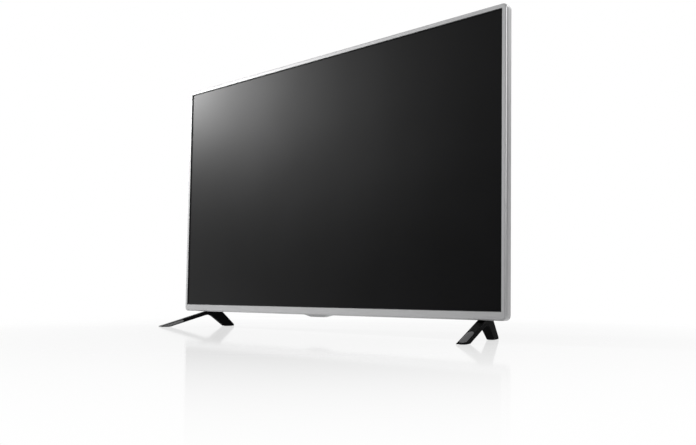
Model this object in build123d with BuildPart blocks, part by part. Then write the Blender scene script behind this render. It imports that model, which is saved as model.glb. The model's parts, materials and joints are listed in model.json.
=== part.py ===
"""Flat screen television on two splayed feet, as separate pieces.

X runs to the viewer's right, Y from the front face to the back and Z up.
The origin lies on the floor, midway between the feet and under the front face.
"""
from build123d import *
from math import ceil, cos, hypot, radians, sin, tan
import os

os.makedirs("parts", exist_ok=True)

# Whole body
body_width = 1241.0
body_height = 716.0
body_depth = 57.0
floor_gap = 48.5
corner_radius = 12.0

# Clearances and cuts
overrun = 6.0
fit_gap = 0.3
run_gap = 0.4
pin_gap = 0.06

# Front bezel
bezel_side = 12.0
bezel_top = 11.0
bezel_bottom = 20.0
bezel_wall = 2.2
bezel_depth = 8.0
bezel_round = 4.0
bezel_lip_break = 0.5

# Silver middle cabinet behind the bezel
groove_width = 1.0
groove_depth = 0.9
cabinet_inset = 0.3
cabinet_wall = 2.0
cabinet_depth = 13.0
cabinet_break = 0.6
cabinet_flange = 17.0
cabinet_flange_sheet = 2.0

# Screen stack, from the front
cell_overlap = 3.0
cell_sheet = 1.4
guide_reach = 6.0
guide_lip_inside = 2.0
guide_lip_sheet = 1.5
guide_wall = 1.2
guide_depth = 5.6
film_sheet = 0.3
film_reach = 4.4
diffuser_sheet_thick = 1.5

# Backlight
pan_flange_reach = 4.5
pan_mouth_reach = 1.0
pan_floor_inset = 20.0
pan_depth = 23.0
pan_sheet = 1.0
reflector_thick = 0.4
led_rows = 8
led_columns = 10
led_row_share = 0.92
strip_width = 18.0
strip_thick = 1.2
chip_side = 3.0
chip_height = 0.6
lens_radius = 8.0
lens_height = 5.0
lens_round = 2.0
lens_hollow_radius = 2.6
lens_hollow_depth = 1.6
support_rows = 3
support_columns = 3
support_base_radius = 4.0
support_tip_radius = 0.8
support_share = 0.6

# Rear cover
cover_wall = 2.5
cover_edge = 1.2
cover_side_run = 69.0
cover_top_run = 60.0
cover_bottom_run = 16.0
cover_back_corner = 22.0
cover_round = 5.0
vent_slot_width = 3.0
vent_slot_height = 34.0
vent_pitch = 10.0
vent_count = 30
vent_from_top = 94.0
vent_group_x = 250.0
speaker_vent_length = 18.0
speaker_vent_pitch = 8.0
speaker_vent_count = 20

# Screws
cover_screw_inset = 10.5
screw_head_radius = 3.0
screw_head_height = 2.2
screw_shank_radius = 1.4
screw_hole_radius = 1.6
screw_cross_width = 0.9
screw_cross_length = 3.6
screw_cross_depth = 1.1
boss_radius = 3.2
boss_length = 8.0
well_radius = 4.2
top_screw_shares = (-0.84, -0.42, 0.0, 0.42, 0.84)
side_screw_shares = (0.22, 0.52, 0.82)
bottom_screw_shares = (-0.72, -0.3, 0.3, 0.72)

# Terminal bay, in the cover's back at the viewer's left
bay_end_from_side = 190.5
bay_height = 232.0
bay_middle_z = 318.0
bay_floor = 33.5
bay_window_edge = 3.0
plate_sheet = 1.2
plate_border = 2.0
socket_gap = 9.0
usb_width = 13.2
usb_height = 5.8
usb_length = 14.0
hdmi_width = 15.0
hdmi_height = 6.0
hdmi_length = 12.0
lan_width = 16.0
lan_height = 13.5
lan_length = 19.0
lan_mouth_width = 11.8
lan_mouth_height = 8.2
lan_mouth_depth = 13.0
optical_side = 10.0
optical_length = 14.0
optical_recess = 1.0
jack_side = 8.0
jack_length = 13.0
jack_bore_radius = 1.8
jack_bore_depth = 12.0
antenna_can_width = 14.0
antenna_can_height = 12.0
antenna_can_length = 24.0
antenna_radius = 4.7
antenna_length = 10.0
antenna_bore_radius = 2.6
socket_shell = 0.4
socket_mouth_depth = 9.0
tongue_thick = 1.4
tongue_side_gap = 1.2

# Boards
board_sheet = 1.6
standoff_height = 5.6
standoff_radius = 4.0
board_corner = 7.0
main_board_width = 190.0
main_board_height = 224.0
power_board_width = 190.0
power_board_height = 220.0
power_board_middle_z = 270.0
t_con_width = 220.0
t_con_height = 50.0
t_con_low = 97.0
t_con_sheet = 1.2
shield_border = 9.0
shield_height = 6.0
shield_sheet = 0.5
processor_side = 35.0
processor_height = 2.4
memory_width = 9.0
memory_length = 13.0
memory_height = 1.1
heatsink_side = 52.0
heatsink_base = 2.5
fin_count = 9
fin_thick = 1.4
fin_height = 8.0
capacitor_radius = 7.8
capacitor_length = 36.0
capacitor_count = 3
capacitor_pitch = 20.0
capacitor_round = 1.0
transformer_side = 36.0
transformer_core = 20.0
transformer_height = 14.5
transformer_winding = 11.0
transformer_shares = (0.3, 0.72)
transformer_height_share = 0.12
connector_width = 12.0
connector_depth = 7.0
connector_height = 7.5
plug_pitch = 24.0
power_in_share = 0.62
video_end_share = -0.25

# Wall mount
vesa_spacing = 400.0
vesa_thread_radius = 3.0
vesa_thread_depth = 24.0
vesa_boss_radius = 7.0
rail_width = 40.0
rail_depth = 12.0
rail_sheet = 1.6
rail_past_hole = 14.0

# Mains inlet, in a recess at the viewer's right
inlet_from_side = 152.5
inlet_recess_width = 56.0
inlet_recess_low = 152.0
inlet_recess_height = 66.0
inlet_flange_width = 32.0
inlet_flange_depth = 19.0
inlet_flange_sheet = 2.0
inlet_body_width = 24.0
inlet_body_depth = 13.0
inlet_body_height = 16.0
inlet_mouth_width = 17.2
inlet_mouth_depth = 9.2
inlet_mouth_length = 12.0
inlet_pin_radius = 1.2
inlet_pin_spacing = 8.6
inlet_pin_length = 9.5

# Speakers, at the bottom inside the cover
speaker_from_side = 190.5
speaker_length = 178.0
speaker_low = 77.0
speaker_height = 36.0
speaker_front_gap = 0.3
speaker_depth = 22.0
speaker_wall = 2.0
speaker_round = 3.0
driver_length = 80.0
driver_width = 19.0
driver_flange = 1.5
driver_collar_length = 71.0
driver_collar_width = 14.6
driver_collar_height = 6.0
driver_wall = 2.0
magnet_radius = 7.0
magnet_height = 9.0
bridge_width = 6.0
bridge_sheet = 1.6
cone_sheet = 1.2
coil_radius = 3.6
coil_wall = 0.6
coil_height = 1.8

# Lip under the middle of the bezel, with the remote sensor and the joystick
lip_drop = 6.0
lip_flat_width = 50.0
lip_width = 108.0
lip_front = 8.5
lip_back = 23.0
lip_corner_round = 9.0
lip_edge_round = 1.2
stalk_width = 54.0
stalk_wall = 0.6
joystick_y = 15.0
stick_radius = 1.2
stick_head_radius = 1.9
stick_head_height = 1.1
cap_radius = 3.8
cap_height = 2.2
cap_inset = 0.2
cap_round = 0.5
cap_recess_radius = 5.5
cap_recess_depth = 4.6
pivot_height = 52.0
ring_radius = 4.6
ring_width = 0.9
ring_height = 2.4
rocker_radius = 3.1
rocker_tube_radius = 2.2
rocker_top = 3.6
pivot_pin_radius = 0.55
pivot_pin_bite = 1.5
cavity_drop = 2.4
stick_hole_radius = 2.3
switch_radius = 2.4
switch_height = 0.9
sensor_board_z = 59.0
sensor_board_sheet = 1.2
lens_window_x = -17.0
lens_window_width = 9.0
lens_window_depth = 4.0
lens_window_height = 2.0

# Source boards and their film leads along the screen's bottom edge
source_board_low = 2.6
source_board_height = 10.0
source_board_sheet = 1.2
source_board_middle_gap = 62.0
source_board_end = 50.0
lead_film_count = 12
lead_film_width = 36.0
lead_film_sheet = 0.2
lead_film_drop = 8.5
lead_film_bend = 1.5

# Leads inside the cover
ribbon_width = 40.0
ribbon_sheet = 0.3
ribbon_x = 72.0
arc_share = 0.45
mains_lead = 5.0
power_lead = 5.0
video_lead = 4.4
speaker_lead = 2.4
sensor_lead_size = 2.0
lane_step = 7.0

# Feet: a bent blade in an upright plane, turned outward at the front
foot_from_side = 72.8
foot_splay = 17.0
foot_reach = 117.5
foot_thick = 23.0
foot_nose = 1.8
foot_neck = 25.0
foot_neck_height = 0.4
foot_front_heel = 86.0
foot_back_heel = 83.0
foot_vault_s = 35.0
foot_vault_z = 39.5
foot_vault_round = 27.0
foot_hump = 61.5
foot_hump_z = 63.0
foot_back_corner_z = 6.0
foot_back_round = 3.0
foot_plan_round = 4.0
foot_hump_round = 3.0
foot_edge_round = 2.0
foot_taper = 6.0
foot_taper_start = 40.0
tongue_width = 16.0
tongue_depth = 12.0
tongue_top = 92.0
foot_screw_z = 70.0
foot_screw_pitch = 14.0
foot_screw_length = 12.0
bracket_sheet = 2.0
bracket_low = 66.0
bracket_top = 160.0
bracket_width = 60.0
pad_proud = 0.8
pad_sunk = 1.0
pad_length = 24.0
pad_width = 13.0
pad_round = 3.0
pad_from_end = 6.0

# Places worked out from the sizes above
half_width = body_width / 2
body_middle_z = floor_gap + body_height / 2
body_top = floor_gap + body_height
opening_width = body_width - 2 * bezel_side
opening_height = body_height - bezel_top - bezel_bottom
opening_middle_z = floor_gap + bezel_bottom + opening_height / 2
opening_low = floor_gap + bezel_bottom
cabinet_back = bezel_depth + cabinet_depth
cell_back = bezel_wall + cell_sheet
guide_back = cell_back + guide_depth
stack_front = cell_back + guide_lip_sheet
prism_back = stack_front + film_sheet
film_back = prism_back + film_sheet
pan_front = film_back + diffuser_sheet_thick
pan_back = pan_front + pan_depth
pan_floor = pan_back - pan_sheet
strip_front = pan_floor - strip_thick
reflector_front = strip_front - reflector_thick
board_front = pan_back + standoff_height
board_back = board_front + board_sheet
cover_inside = body_depth - cover_wall
cover_rise = body_depth - cabinet_back
screw_seat = cabinet_back + cover_wall
bay_end_from_middle = half_width - bay_end_from_side
plate_x = -bay_end_from_middle + cover_wall
inlet_x = half_width - inlet_from_side
foot_x = half_width - foot_from_side
bay_low = bay_middle_z - bay_height / 2
bay_high = bay_middle_z + bay_height / 2
main_left = plate_x + plate_sheet + fit_gap
main_right = main_left + main_board_width
main_low = bay_middle_z - main_board_height / 2
power_left = vesa_spacing / 2 + rail_width / 2 + socket_gap
power_low = power_board_middle_z - power_board_height / 2
t_con_back = board_front + t_con_sheet
t_con_high = t_con_low + t_con_height
speaker_front = pan_back + speaker_front_gap
speaker_outer_x = half_width - speaker_from_side
speaker_inner_x = speaker_outer_x - speaker_length
speaker_mid_x = speaker_inner_x + speaker_length / 2
speaker_mid_y = speaker_front + speaker_depth / 2
inlet_ceiling = inlet_recess_low + inlet_recess_height
inlet_y = (bay_floor + body_depth) / 2
lip_low = floor_gap - lip_drop

# Where the plugs stand on the boards
video_x = main_right - plug_pitch
supply_x = video_x - plug_pitch
speaker_right_x = supply_x - plug_pitch
sensor_x = speaker_right_x - plug_pitch
speaker_left_x = sensor_x - plug_pitch
power_right = power_left + power_board_width
power_out_z = power_low + plug_pitch
power_in_z = power_low + power_board_height * power_in_share
light_x = power_right - plug_pitch
power_high = power_low + power_board_height
video_end_x = video_end_share * t_con_width

# Rows of light places behind the screen
led_field_width = opening_width - 2 * pan_floor_inset
led_field_height = opening_height - 2 * pan_floor_inset
column_pitch = led_field_width * led_row_share / led_columns
row_pitch = led_field_height / led_rows
first_led_x = -(led_columns - 1) / 2 * column_pitch
first_led_z = opening_middle_z - (led_rows - 1) / 2 * row_pitch
led_places = [
    (first_led_x + column * column_pitch, first_led_z + row * row_pitch)
    for row in range(led_rows)
    for column in range(led_columns)
]
light_row = ceil((power_high + plug_pitch - first_led_z) / row_pitch)
light_z = first_led_z + light_row * row_pitch


def at_depth(depth):
    """Upright plane at a depth behind the front face, looking at the viewer."""
    return Plane(origin=(0, depth, 0), x_dir=(1, 0, 0), z_dir=(0, -1, 0))


def panel(side, top, bottom, corner=0.0, mode=Mode.ADD):
    """Rectangle inset from the body's outline, in the current sketch."""
    width = body_width - 2 * side
    height = body_height - top - bottom
    with Locations((0, floor_gap + bottom + height / 2)):
        if corner > 0:
            RectangleRounded(width, height, corner, mode=mode)
        else:
            Rectangle(width, height, mode=mode)


def past_screen(reach, mode=Mode.ADD):
    """Rectangle that reaches past the screen opening on every side, in the current sketch."""
    with Locations((0, opening_middle_z)):
        Rectangle(opening_width + 2 * reach, opening_height + 2 * reach, mode=mode)


def block(x, y, z, mode=Mode.ADD):
    """Box between two limits in each direction, in the current part."""
    with Locations(((x[0] + x[1]) / 2, (y[0] + y[1]) / 2, (z[0] + z[1]) / 2)):
        Box(abs(x[1] - x[0]), abs(y[1] - y[0]), abs(z[1] - z[0]), mode=mode)


def rods(places, radius, front, back, mode=Mode.ADD):
    """Round bars along Y at X and Z places, between two depths, in the current part."""
    with BuildSketch(at_depth(back)) as outline:
        with Locations(*places):
            Circle(radius)
    extrude(outline.sketch, amount=back - front, mode=mode)


def upright(x, y, radius, low, high, mode=Mode.ADD):
    """Round bar along Z, in the current part."""
    with BuildSketch(Plane.XY.offset(low)) as outline:
        with Locations((x, y)):
            Circle(radius)
    extrude(outline.sketch, amount=high - low, mode=mode)


def cross_bar(y, z, radius, left, right, mode=Mode.ADD):
    """Round bar along X, in the current part."""
    with BuildSketch(Plane.YZ.offset(left)) as outline:
        with Locations((y, z)):
            Circle(radius)
    extrude(outline.sketch, amount=right - left, mode=mode)


def screws(places, seat, length):
    """Cross-head screws along Y with their heads against a seat, in the current part."""
    rods(places, screw_head_radius, seat, seat + screw_head_height)
    rods(places, screw_shank_radius, seat - length, seat)
    with BuildSketch(at_depth(seat + screw_head_height)) as cross:
        with Locations(*places):
            Rectangle(screw_cross_length, screw_cross_width)
            Rectangle(screw_cross_width, screw_cross_length)
    extrude(cross.sketch, amount=screw_cross_depth, mode=Mode.SUBTRACT)


def tray(mouth, floor, front, back, sheet):
    """Open tray of sheet with sloped walls, from its mouth's reach to its floor's."""
    run = mouth - floor
    rise = back - front
    slant = sheet * hypot(run, rise) / rise
    with BuildSketch(at_depth(back)) as outer_floor:
        past_screen(floor)
    with BuildSketch(at_depth(front)) as outer_mouth:
        past_screen(mouth)
    loft([outer_floor.sketch, outer_mouth.sketch], ruled=True)
    with BuildSketch(at_depth(back - sheet)) as inner_floor:
        past_screen(mouth - slant - run * (rise - sheet) / rise)
    with BuildSketch(at_depth(front)) as inner_mouth:
        past_screen(mouth - slant)
    loft([inner_floor.sketch, inner_mouth.sketch], ruled=True, mode=Mode.SUBTRACT)


def cover_margin(run, depth, wall):
    """Inset of one sloped face of the rear cover from the body's outline."""
    return cover_edge + run * (depth - cabinet_back) / cover_rise + wall * hypot(run, cover_rise) / cover_rise


def cover_section(depth, wall, corner):
    """Outline of the rear cover at a depth, a wall's thickness in from its outside."""
    panel(
        cover_margin(cover_side_run, depth, wall),
        cover_margin(cover_top_run, depth, wall),
        cover_margin(cover_bottom_run, depth, wall),
        corner,
    )


def lead(name, points, size):
    """Round lead along straight runs, with the widest arcs that the runs allow."""
    radii = []
    for before, corner, after in zip(points, points[1:], points[2:]):
        run_in = Vector(*corner) - Vector(*before)
        run_out = Vector(*after) - Vector(*corner)
        turn = radians(run_in.get_angle(run_out))
        radii.append(arc_share * min(run_in.length, run_out.length) / tan(turn / 2))
    print(name, "radii", [round(radius, 1) for radius in radii])
    with BuildLine() as route:
        FilletPolyline(*points, radius=radii)
    with BuildSketch(Plane(origin=route.line @ 0, z_dir=route.line % 0)) as end:
        Circle(size / 2)
    sweep(end.sketch, path=route.line)


# Where the cover's screws stand: along the top, down both sides and along the bottom
cover_screw_places = (
    [(share * half_width, body_top - cover_screw_inset) for share in top_screw_shares]
    + [(share * half_width, floor_gap + cover_screw_inset) for share in bottom_screw_shares]
    + [
        (side * (half_width - cover_screw_inset), floor_gap + share * body_height)
        for side in (-1, 1)
        for share in side_screw_shares
    ]
)

# Front bezel: thin frame with a rounded outer edge and a square opening
with BuildPart() as front_bezel:
    with BuildSketch(at_depth(bezel_depth)):
        panel(0, 0, 0, corner_radius)
    extrude(amount=bezel_depth)
    fillet(front_bezel.faces().sort_by(Axis.Y)[0].edges(), radius=bezel_round)
    with BuildSketch(at_depth(bezel_depth)):
        panel(bezel_wall, bezel_wall, bezel_wall, corner_radius - bezel_wall)
    extrude(amount=bezel_depth - bezel_wall, mode=Mode.SUBTRACT)
    with BuildSketch(at_depth(bezel_depth)):
        past_screen(0)
    extrude(amount=bezel_depth + overrun, mode=Mode.SUBTRACT)
    chamfer(front_bezel.faces().sort_by(Axis.Y)[0].inner_wires().edges(), length=bezel_lip_break)

# Middle cabinet: silver side band with a shadow groove, an inner flange and screw bosses
stalk_low_y = lip_front + stalk_wall
stalk_high_y = 2 * joystick_y - stalk_low_y
with BuildPart() as middle_cabinet:
    with BuildSketch(at_depth(cabinet_back)):
        panel(cabinet_inset, cabinet_inset, cabinet_inset, corner_radius - cabinet_inset)
    extrude(amount=cabinet_depth - groove_width)
    chamfer(middle_cabinet.faces().sort_by(Axis.Y)[-1].outer_wire().edges(), length=cabinet_break)
    with BuildSketch(at_depth(bezel_depth + groove_width)):
        panel(groove_depth, groove_depth, groove_depth, corner_radius - groove_depth)
    extrude(amount=groove_width)
    inner_edge = cabinet_inset + cabinet_wall
    with BuildSketch(at_depth(cabinet_back - cabinet_flange_sheet)):
        panel(inner_edge, inner_edge, inner_edge, corner_radius - inner_edge)
    extrude(amount=cabinet_depth, mode=Mode.SUBTRACT)
    with BuildSketch(at_depth(cabinet_back)):
        panel(cabinet_flange, cabinet_flange, cabinet_flange)
    extrude(amount=cabinet_flange_sheet, mode=Mode.SUBTRACT)
    rods(cover_screw_places, boss_radius, cabinet_back - boss_length, cabinet_back)
    rods(cover_screw_places, screw_hole_radius, cabinet_back - boss_length, cabinet_back, mode=Mode.SUBTRACT)
    block(
        (-stalk_width / 2 - fit_gap, stalk_width / 2 + fit_gap),
        (stalk_low_y - fit_gap, cabinet_back + overrun),
        (lip_low, sensor_board_z + sensor_board_sheet + fit_gap),
        mode=Mode.SUBTRACT,
    )

# Screen cell: two bonded glass sheets behind the bezel's lip
with BuildPart() as lcd_cell:
    with BuildSketch(at_depth(cell_back)):
        past_screen(cell_overlap)
    extrude(amount=cell_sheet)

# Guide frame: holds the cell in front and traps the sheets behind
with BuildPart() as panel_guide_frame:
    with BuildSketch(at_depth(guide_back)):
        past_screen(guide_reach)
        past_screen(guide_reach - guide_wall, mode=Mode.SUBTRACT)
    extrude(amount=guide_depth)
    with BuildSketch(at_depth(stack_front)):
        past_screen(guide_reach)
        past_screen(-guide_lip_inside, mode=Mode.SUBTRACT)
    extrude(amount=guide_lip_sheet)

# Optical sheets between the guide frame's lip and the backlight pan
with BuildPart() as prism_sheet:
    with BuildSketch(at_depth(prism_back)):
        past_screen(film_reach)
    extrude(amount=film_sheet)

with BuildPart() as diffuser_sheet:
    with BuildSketch(at_depth(film_back)):
        past_screen(film_reach)
    extrude(amount=film_sheet)

with BuildPart() as diffuser_plate:
    with BuildSketch(at_depth(pan_front)):
        past_screen(film_reach)
    extrude(amount=diffuser_sheet_thick)

# Places of boards, and of the stand-offs that carry them on the pan
board_screw_places = []
for left, low, width, height in (
    (main_left, main_low, main_board_width, main_board_height),
    (power_left, power_low, power_board_width, power_board_height),
    (-t_con_width / 2, t_con_low, t_con_width, t_con_height),
):
    for x in (left + board_corner, left + width - board_corner):
        for z in (low + board_corner, low + height - board_corner):
            board_screw_places.append((x, z))

# Backlight pan: pressed steel tray with a flange and stand-offs for the boards
with BuildPart() as backlight_pan:
    tray(pan_mouth_reach, -pan_floor_inset, pan_front, pan_back, pan_sheet)
    pan_throat = pan_mouth_reach - pan_sheet
    with BuildSketch(at_depth(pan_front + pan_sheet)):
        past_screen(pan_flange_reach)
        past_screen(pan_throat, mode=Mode.SUBTRACT)
    extrude(amount=pan_sheet)
    rods(board_screw_places, standoff_radius, pan_back, board_front)
    rods(board_screw_places, screw_hole_radius, pan_back, board_front, mode=Mode.SUBTRACT)
    rods([(light_x, light_z)], speaker_lead / 2 + fit_gap, pan_floor, pan_back, mode=Mode.SUBTRACT)

# LED strips in rows on the pan's floor, each with its chips and lenses
with BuildPart() as led_strips:
    with BuildSketch(at_depth(pan_floor)):
        with Locations((0, opening_middle_z)):
            with GridLocations(0, row_pitch, 1, led_rows):
                Rectangle(led_columns * column_pitch, strip_width)
    extrude(amount=strip_thick)

with BuildPart() as led_chips:
    with BuildSketch(at_depth(strip_front)):
        with Locations(*led_places):
            Rectangle(chip_side, chip_side)
    extrude(amount=chip_height)

with BuildPart() as led_lenses:
    rods(led_places, lens_radius, strip_front - lens_height, strip_front)
    fillet(led_lenses.faces().group_by(Axis.Y)[0].edges(), radius=lens_round)
    rods(led_places, lens_hollow_radius, strip_front - lens_hollow_depth, strip_front, mode=Mode.SUBTRACT)

# Reflector: white sheet over the strips and up the pan's walls, with a hole for each lens
with BuildPart() as reflector_sheet:
    slack = pan_sheet + fit_gap
    reflector_mouth = pan_mouth_reach - 2 * slack
    tray(reflector_mouth, -pan_floor_inset - slack, pan_front + fit_gap, strip_front, reflector_thick)
    rods(led_places, lens_radius + fit_gap, reflector_front - overrun, strip_front, mode=Mode.SUBTRACT)

# Cones that keep the diffuser plate off the lenses
with BuildPart() as diffuser_supports:
    support_step_x = column_pitch * round(led_columns / support_columns)
    support_step_z = row_pitch * round(led_rows / support_rows * support_share)
    support_places = [
        (column * support_step_x, opening_middle_z + row * support_step_z)
        for row in (-1, 0, 1)
        for column in (-1, 0, 1)
    ]
    for place in support_places:
        with BuildSketch(at_depth(reflector_front)):
            with Locations(place):
                Circle(support_base_radius)
        with BuildSketch(at_depth(pan_front)):
            with Locations(place):
                Circle(support_tip_radius)
        loft()

# Source boards under the screen, and the film leads that join them to the cell
source_low = floor_gap + source_board_low
source_front = guide_back + fit_gap
source_length = half_width - source_board_middle_gap / 2 - source_board_end
with BuildPart() as source_boards:
    for side in (-1, 1):
        x_near = side * source_board_middle_gap / 2
        block(
            (x_near, x_near + side * source_length),
            (source_front, source_front + source_board_sheet),
            (source_low, source_low + source_board_height),
        )

cell_low = opening_low - cell_overlap
film_y = bezel_wall + cell_sheet / 2
film_pitch = 2 * (half_width - source_board_end) / lead_film_count
with BuildPart() as lcd_flex_films:
    for index in range(lead_film_count):
        film_x = (index + 0.5 - lead_film_count / 2) * film_pitch
        with BuildSketch(Plane.YZ.offset(film_x - lead_film_width / 2)):
            with BuildLine():
                FilletPolyline(
                    (film_y, cell_low - lead_film_sheet / 2),
                    (film_y, cell_low - lead_film_drop),
                    (source_front - lead_film_sheet / 2, cell_low - lead_film_drop),
                    radius=lead_film_bend,
                )
                offset(amount=lead_film_sheet / 2, side=Side.BOTH)
            make_face()
        extrude(amount=lead_film_width)

# Rear cover's outer form and its hollow
with BuildPart() as cover_form:
    with BuildSketch(at_depth(cabinet_back)):
        cover_section(cabinet_back, 0, corner_radius - cover_edge)
    with BuildSketch(at_depth(body_depth)):
        cover_section(body_depth, 0, cover_back_corner)
    loft(ruled=True)
    fillet(cover_form.faces().sort_by(Axis.Y)[-1].edges(), radius=cover_round)

with BuildPart() as cover_skin:
    add(cover_form.part)
    with BuildSketch(at_depth(cabinet_back)):
        cover_section(cabinet_back, cover_wall, corner_radius - cover_edge)
    with BuildSketch(at_depth(cover_inside)):
        cover_section(cover_inside, cover_wall, cover_back_corner)
    loft(ruled=True, mode=Mode.SUBTRACT)

# Where each foot's tongue and its two screws stand
tongue_front = pan_back + bracket_sheet + fit_gap
tongue_y = tongue_front + tongue_depth / 2
tongue_x = foot_x - tongue_y * tan(radians(foot_splay))
bracket_back = tongue_front + tongue_depth + fit_gap + bracket_sheet
foot_seat = bracket_back + cover_wall + fit_gap
foot_screw_places = [
    (side * tongue_x, foot_screw_z + step * foot_screw_pitch) for side in (-1, 1) for step in (0, 1)
]

# Places of the wall mount holes
vesa_places = [
    (x * vesa_spacing / 2, body_middle_z + z * vesa_spacing / 2) for x in (-1, 1) for z in (-1, 1)
]

# Rear cover: shell with screw towers, terminal bay, inlet recess, vents and slots for the feet
tower_radius = well_radius + cover_wall
with BuildPart() as rear_cover:
    rods(cover_screw_places, tower_radius, cabinet_back, body_depth)
    rods(foot_screw_places, tower_radius, foot_seat - cover_wall, body_depth)
    block(
        (-half_width, plate_x),
        (bay_floor - cover_wall, body_depth),
        (bay_low - cover_wall, bay_high + cover_wall),
    )
    block(
        (inlet_x - inlet_recess_width / 2 - cover_wall, inlet_x + inlet_recess_width / 2 + cover_wall),
        (bay_floor - cover_wall, body_depth),
        (inlet_recess_low - cover_wall, inlet_ceiling + cover_wall),
    )
    add(cover_form.part, mode=Mode.INTERSECT)
    add(cover_skin.part)
    rods(cover_screw_places, well_radius, screw_seat, body_depth + overrun, mode=Mode.SUBTRACT)
    rods(cover_screw_places, screw_hole_radius, cabinet_back, screw_seat, mode=Mode.SUBTRACT)
    rods(foot_screw_places, well_radius, foot_seat, body_depth + overrun, mode=Mode.SUBTRACT)
    rods(foot_screw_places, screw_hole_radius, foot_seat - cover_wall, foot_seat, mode=Mode.SUBTRACT)
    rods(vesa_places, vesa_boss_radius + fit_gap, cover_inside, body_depth + overrun, mode=Mode.SUBTRACT)
    block(
        (-half_width - overrun, -bay_end_from_middle),
        (bay_floor, body_depth + overrun),
        (bay_low, bay_high),
        mode=Mode.SUBTRACT,
    )
    block(
        (-bay_end_from_middle, plate_x),
        (bay_floor + bay_window_edge, cover_inside - bay_window_edge),
        (bay_low + bay_window_edge, bay_high - bay_window_edge),
        mode=Mode.SUBTRACT,
    )
    block(
        (inlet_x - inlet_recess_width / 2, inlet_x + inlet_recess_width / 2),
        (bay_floor, body_depth + overrun),
        (inlet_recess_low, inlet_ceiling),
        mode=Mode.SUBTRACT,
    )
    block(
        (inlet_x - inlet_body_width / 2 - fit_gap, inlet_x + inlet_body_width / 2 + fit_gap),
        (inlet_y - inlet_body_depth / 2 - fit_gap, inlet_y + inlet_body_depth / 2 + fit_gap),
        (inlet_ceiling, inlet_ceiling + cover_wall),
        mode=Mode.SUBTRACT,
    )
    for side in (-1, 1):
        block(
            (side * (tongue_x - tongue_width / 2 - fit_gap), side * (tongue_x + tongue_width / 2 + fit_gap)),
            (tongue_front - fit_gap, tongue_front + tongue_depth + fit_gap),
            (floor_gap, bracket_low),
            mode=Mode.SUBTRACT,
        )
    with BuildSketch(at_depth(body_depth + overrun)):
        with Locations((-vent_group_x, body_top - vent_from_top), (vent_group_x, body_top - vent_from_top)):
            with GridLocations(vent_pitch, 0, vent_count, 1):
                SlotOverall(vent_slot_height, vent_slot_width, rotation=90)
    extrude(amount=body_depth + overrun - board_front, mode=Mode.SUBTRACT)
    with BuildSketch(Plane.XY.offset(floor_gap)):
        with Locations((-speaker_mid_x, speaker_mid_y), (speaker_mid_x, speaker_mid_y)):
            with GridLocations(speaker_vent_pitch, 0, speaker_vent_count, 1):
                SlotOverall(speaker_vent_length, vent_slot_width, rotation=90)
    extrude(amount=speaker_low - driver_flange - floor_gap, mode=Mode.SUBTRACT)

with BuildPart() as rear_cover_screws:
    screws(cover_screw_places, screw_seat, cover_wall + boss_length)


# Wall mount rails: steel channels on the pan with a threaded boss behind each hole
def build_rail(side):
    """One rail on the pan's back."""
    with BuildPart() as rail:
        x = side * vesa_spacing / 2
        low = body_middle_z - vesa_spacing / 2 - rail_past_hole
        high = body_middle_z + vesa_spacing / 2 + rail_past_hole
        block((x - rail_width / 2, x + rail_width / 2), (pan_back, pan_back + rail_depth), (low, high))
        block(
            (x - rail_width / 2 + rail_sheet, x + rail_width / 2 - rail_sheet),
            (pan_back, pan_back + rail_depth - rail_sheet),
            (low - overrun, high + overrun),
            mode=Mode.SUBTRACT,
        )
        places = [place for place in vesa_places if place[0] * side > 0]
        rods(places, vesa_boss_radius, pan_back, body_depth)
        rods(places, vesa_thread_radius, body_depth - vesa_thread_depth, body_depth, mode=Mode.SUBTRACT)
    return rail


wall_mount_rail_left = build_rail(-1)
wall_mount_rail_right = build_rail(1)

# Sockets stand in a row on the main board's edge, from the top down
socket_row = ("usb", "usb", "hdmi", "hdmi", "hdmi", "lan", "optical", "jack", "antenna")
socket_sizes = {
    "usb": (usb_width, usb_height),
    "hdmi": (hdmi_width, hdmi_height),
    "lan": (lan_width, lan_height),
    "optical": (optical_side, optical_side),
    "jack": (jack_side, jack_side),
    "antenna": (antenna_can_width, antenna_can_height),
}
row_length = sum(socket_sizes[kind][0] for kind in socket_row) + socket_gap * (len(socket_row) - 1)
socket_places = []
next_z = bay_middle_z + row_length / 2
for kind in socket_row:
    socket_places.append((kind, next_z - socket_sizes[kind][0] / 2))
    next_z -= socket_sizes[kind][0] + socket_gap


def socket_heights(wanted):
    """Heights of every socket of one kind."""
    return [z for kind, z in socket_places if kind == wanted]


def shell_sockets(kind, length):
    """Thin metal sockets with a tongue, open towards the terminal bay."""
    width, height = socket_sizes[kind]
    for z in socket_heights(kind):
        block((plate_x, plate_x + length), (board_back, board_back + height), (z - width / 2, z + width / 2))
        block(
            (plate_x - overrun, plate_x + socket_mouth_depth),
            (board_back + socket_shell, board_back + height - socket_shell),
            (z - width / 2 + socket_shell, z + width / 2 - socket_shell),
            mode=Mode.SUBTRACT,
        )
        middle = board_back + height / 2
        half_tongue = width / 2 - socket_shell - tongue_side_gap
        block(
            (plate_x + socket_shell, plate_x + socket_mouth_depth),
            (middle - tongue_thick / 2, middle + tongue_thick / 2),
            (z - half_tongue, z + half_tongue),
        )


with BuildPart() as terminal_plate:
    block(
        (plate_x, plate_x + plate_sheet),
        (bay_floor + plate_border / 2, cover_inside - plate_border / 2),
        (bay_low + plate_border / 2, bay_high - plate_border / 2),
    )
    for kind, z in socket_places:
        width, height = socket_sizes[kind]
        block(
            (plate_x - overrun, plate_x + overrun),
            (board_back - fit_gap, board_back + height + fit_gap),
            (z - width / 2 - fit_gap, z + width / 2 + fit_gap),
            mode=Mode.SUBTRACT,
        )

with BuildPart() as usb_sockets:
    shell_sockets("usb", usb_length)

with BuildPart() as hdmi_sockets:
    shell_sockets("hdmi", hdmi_length)

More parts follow.
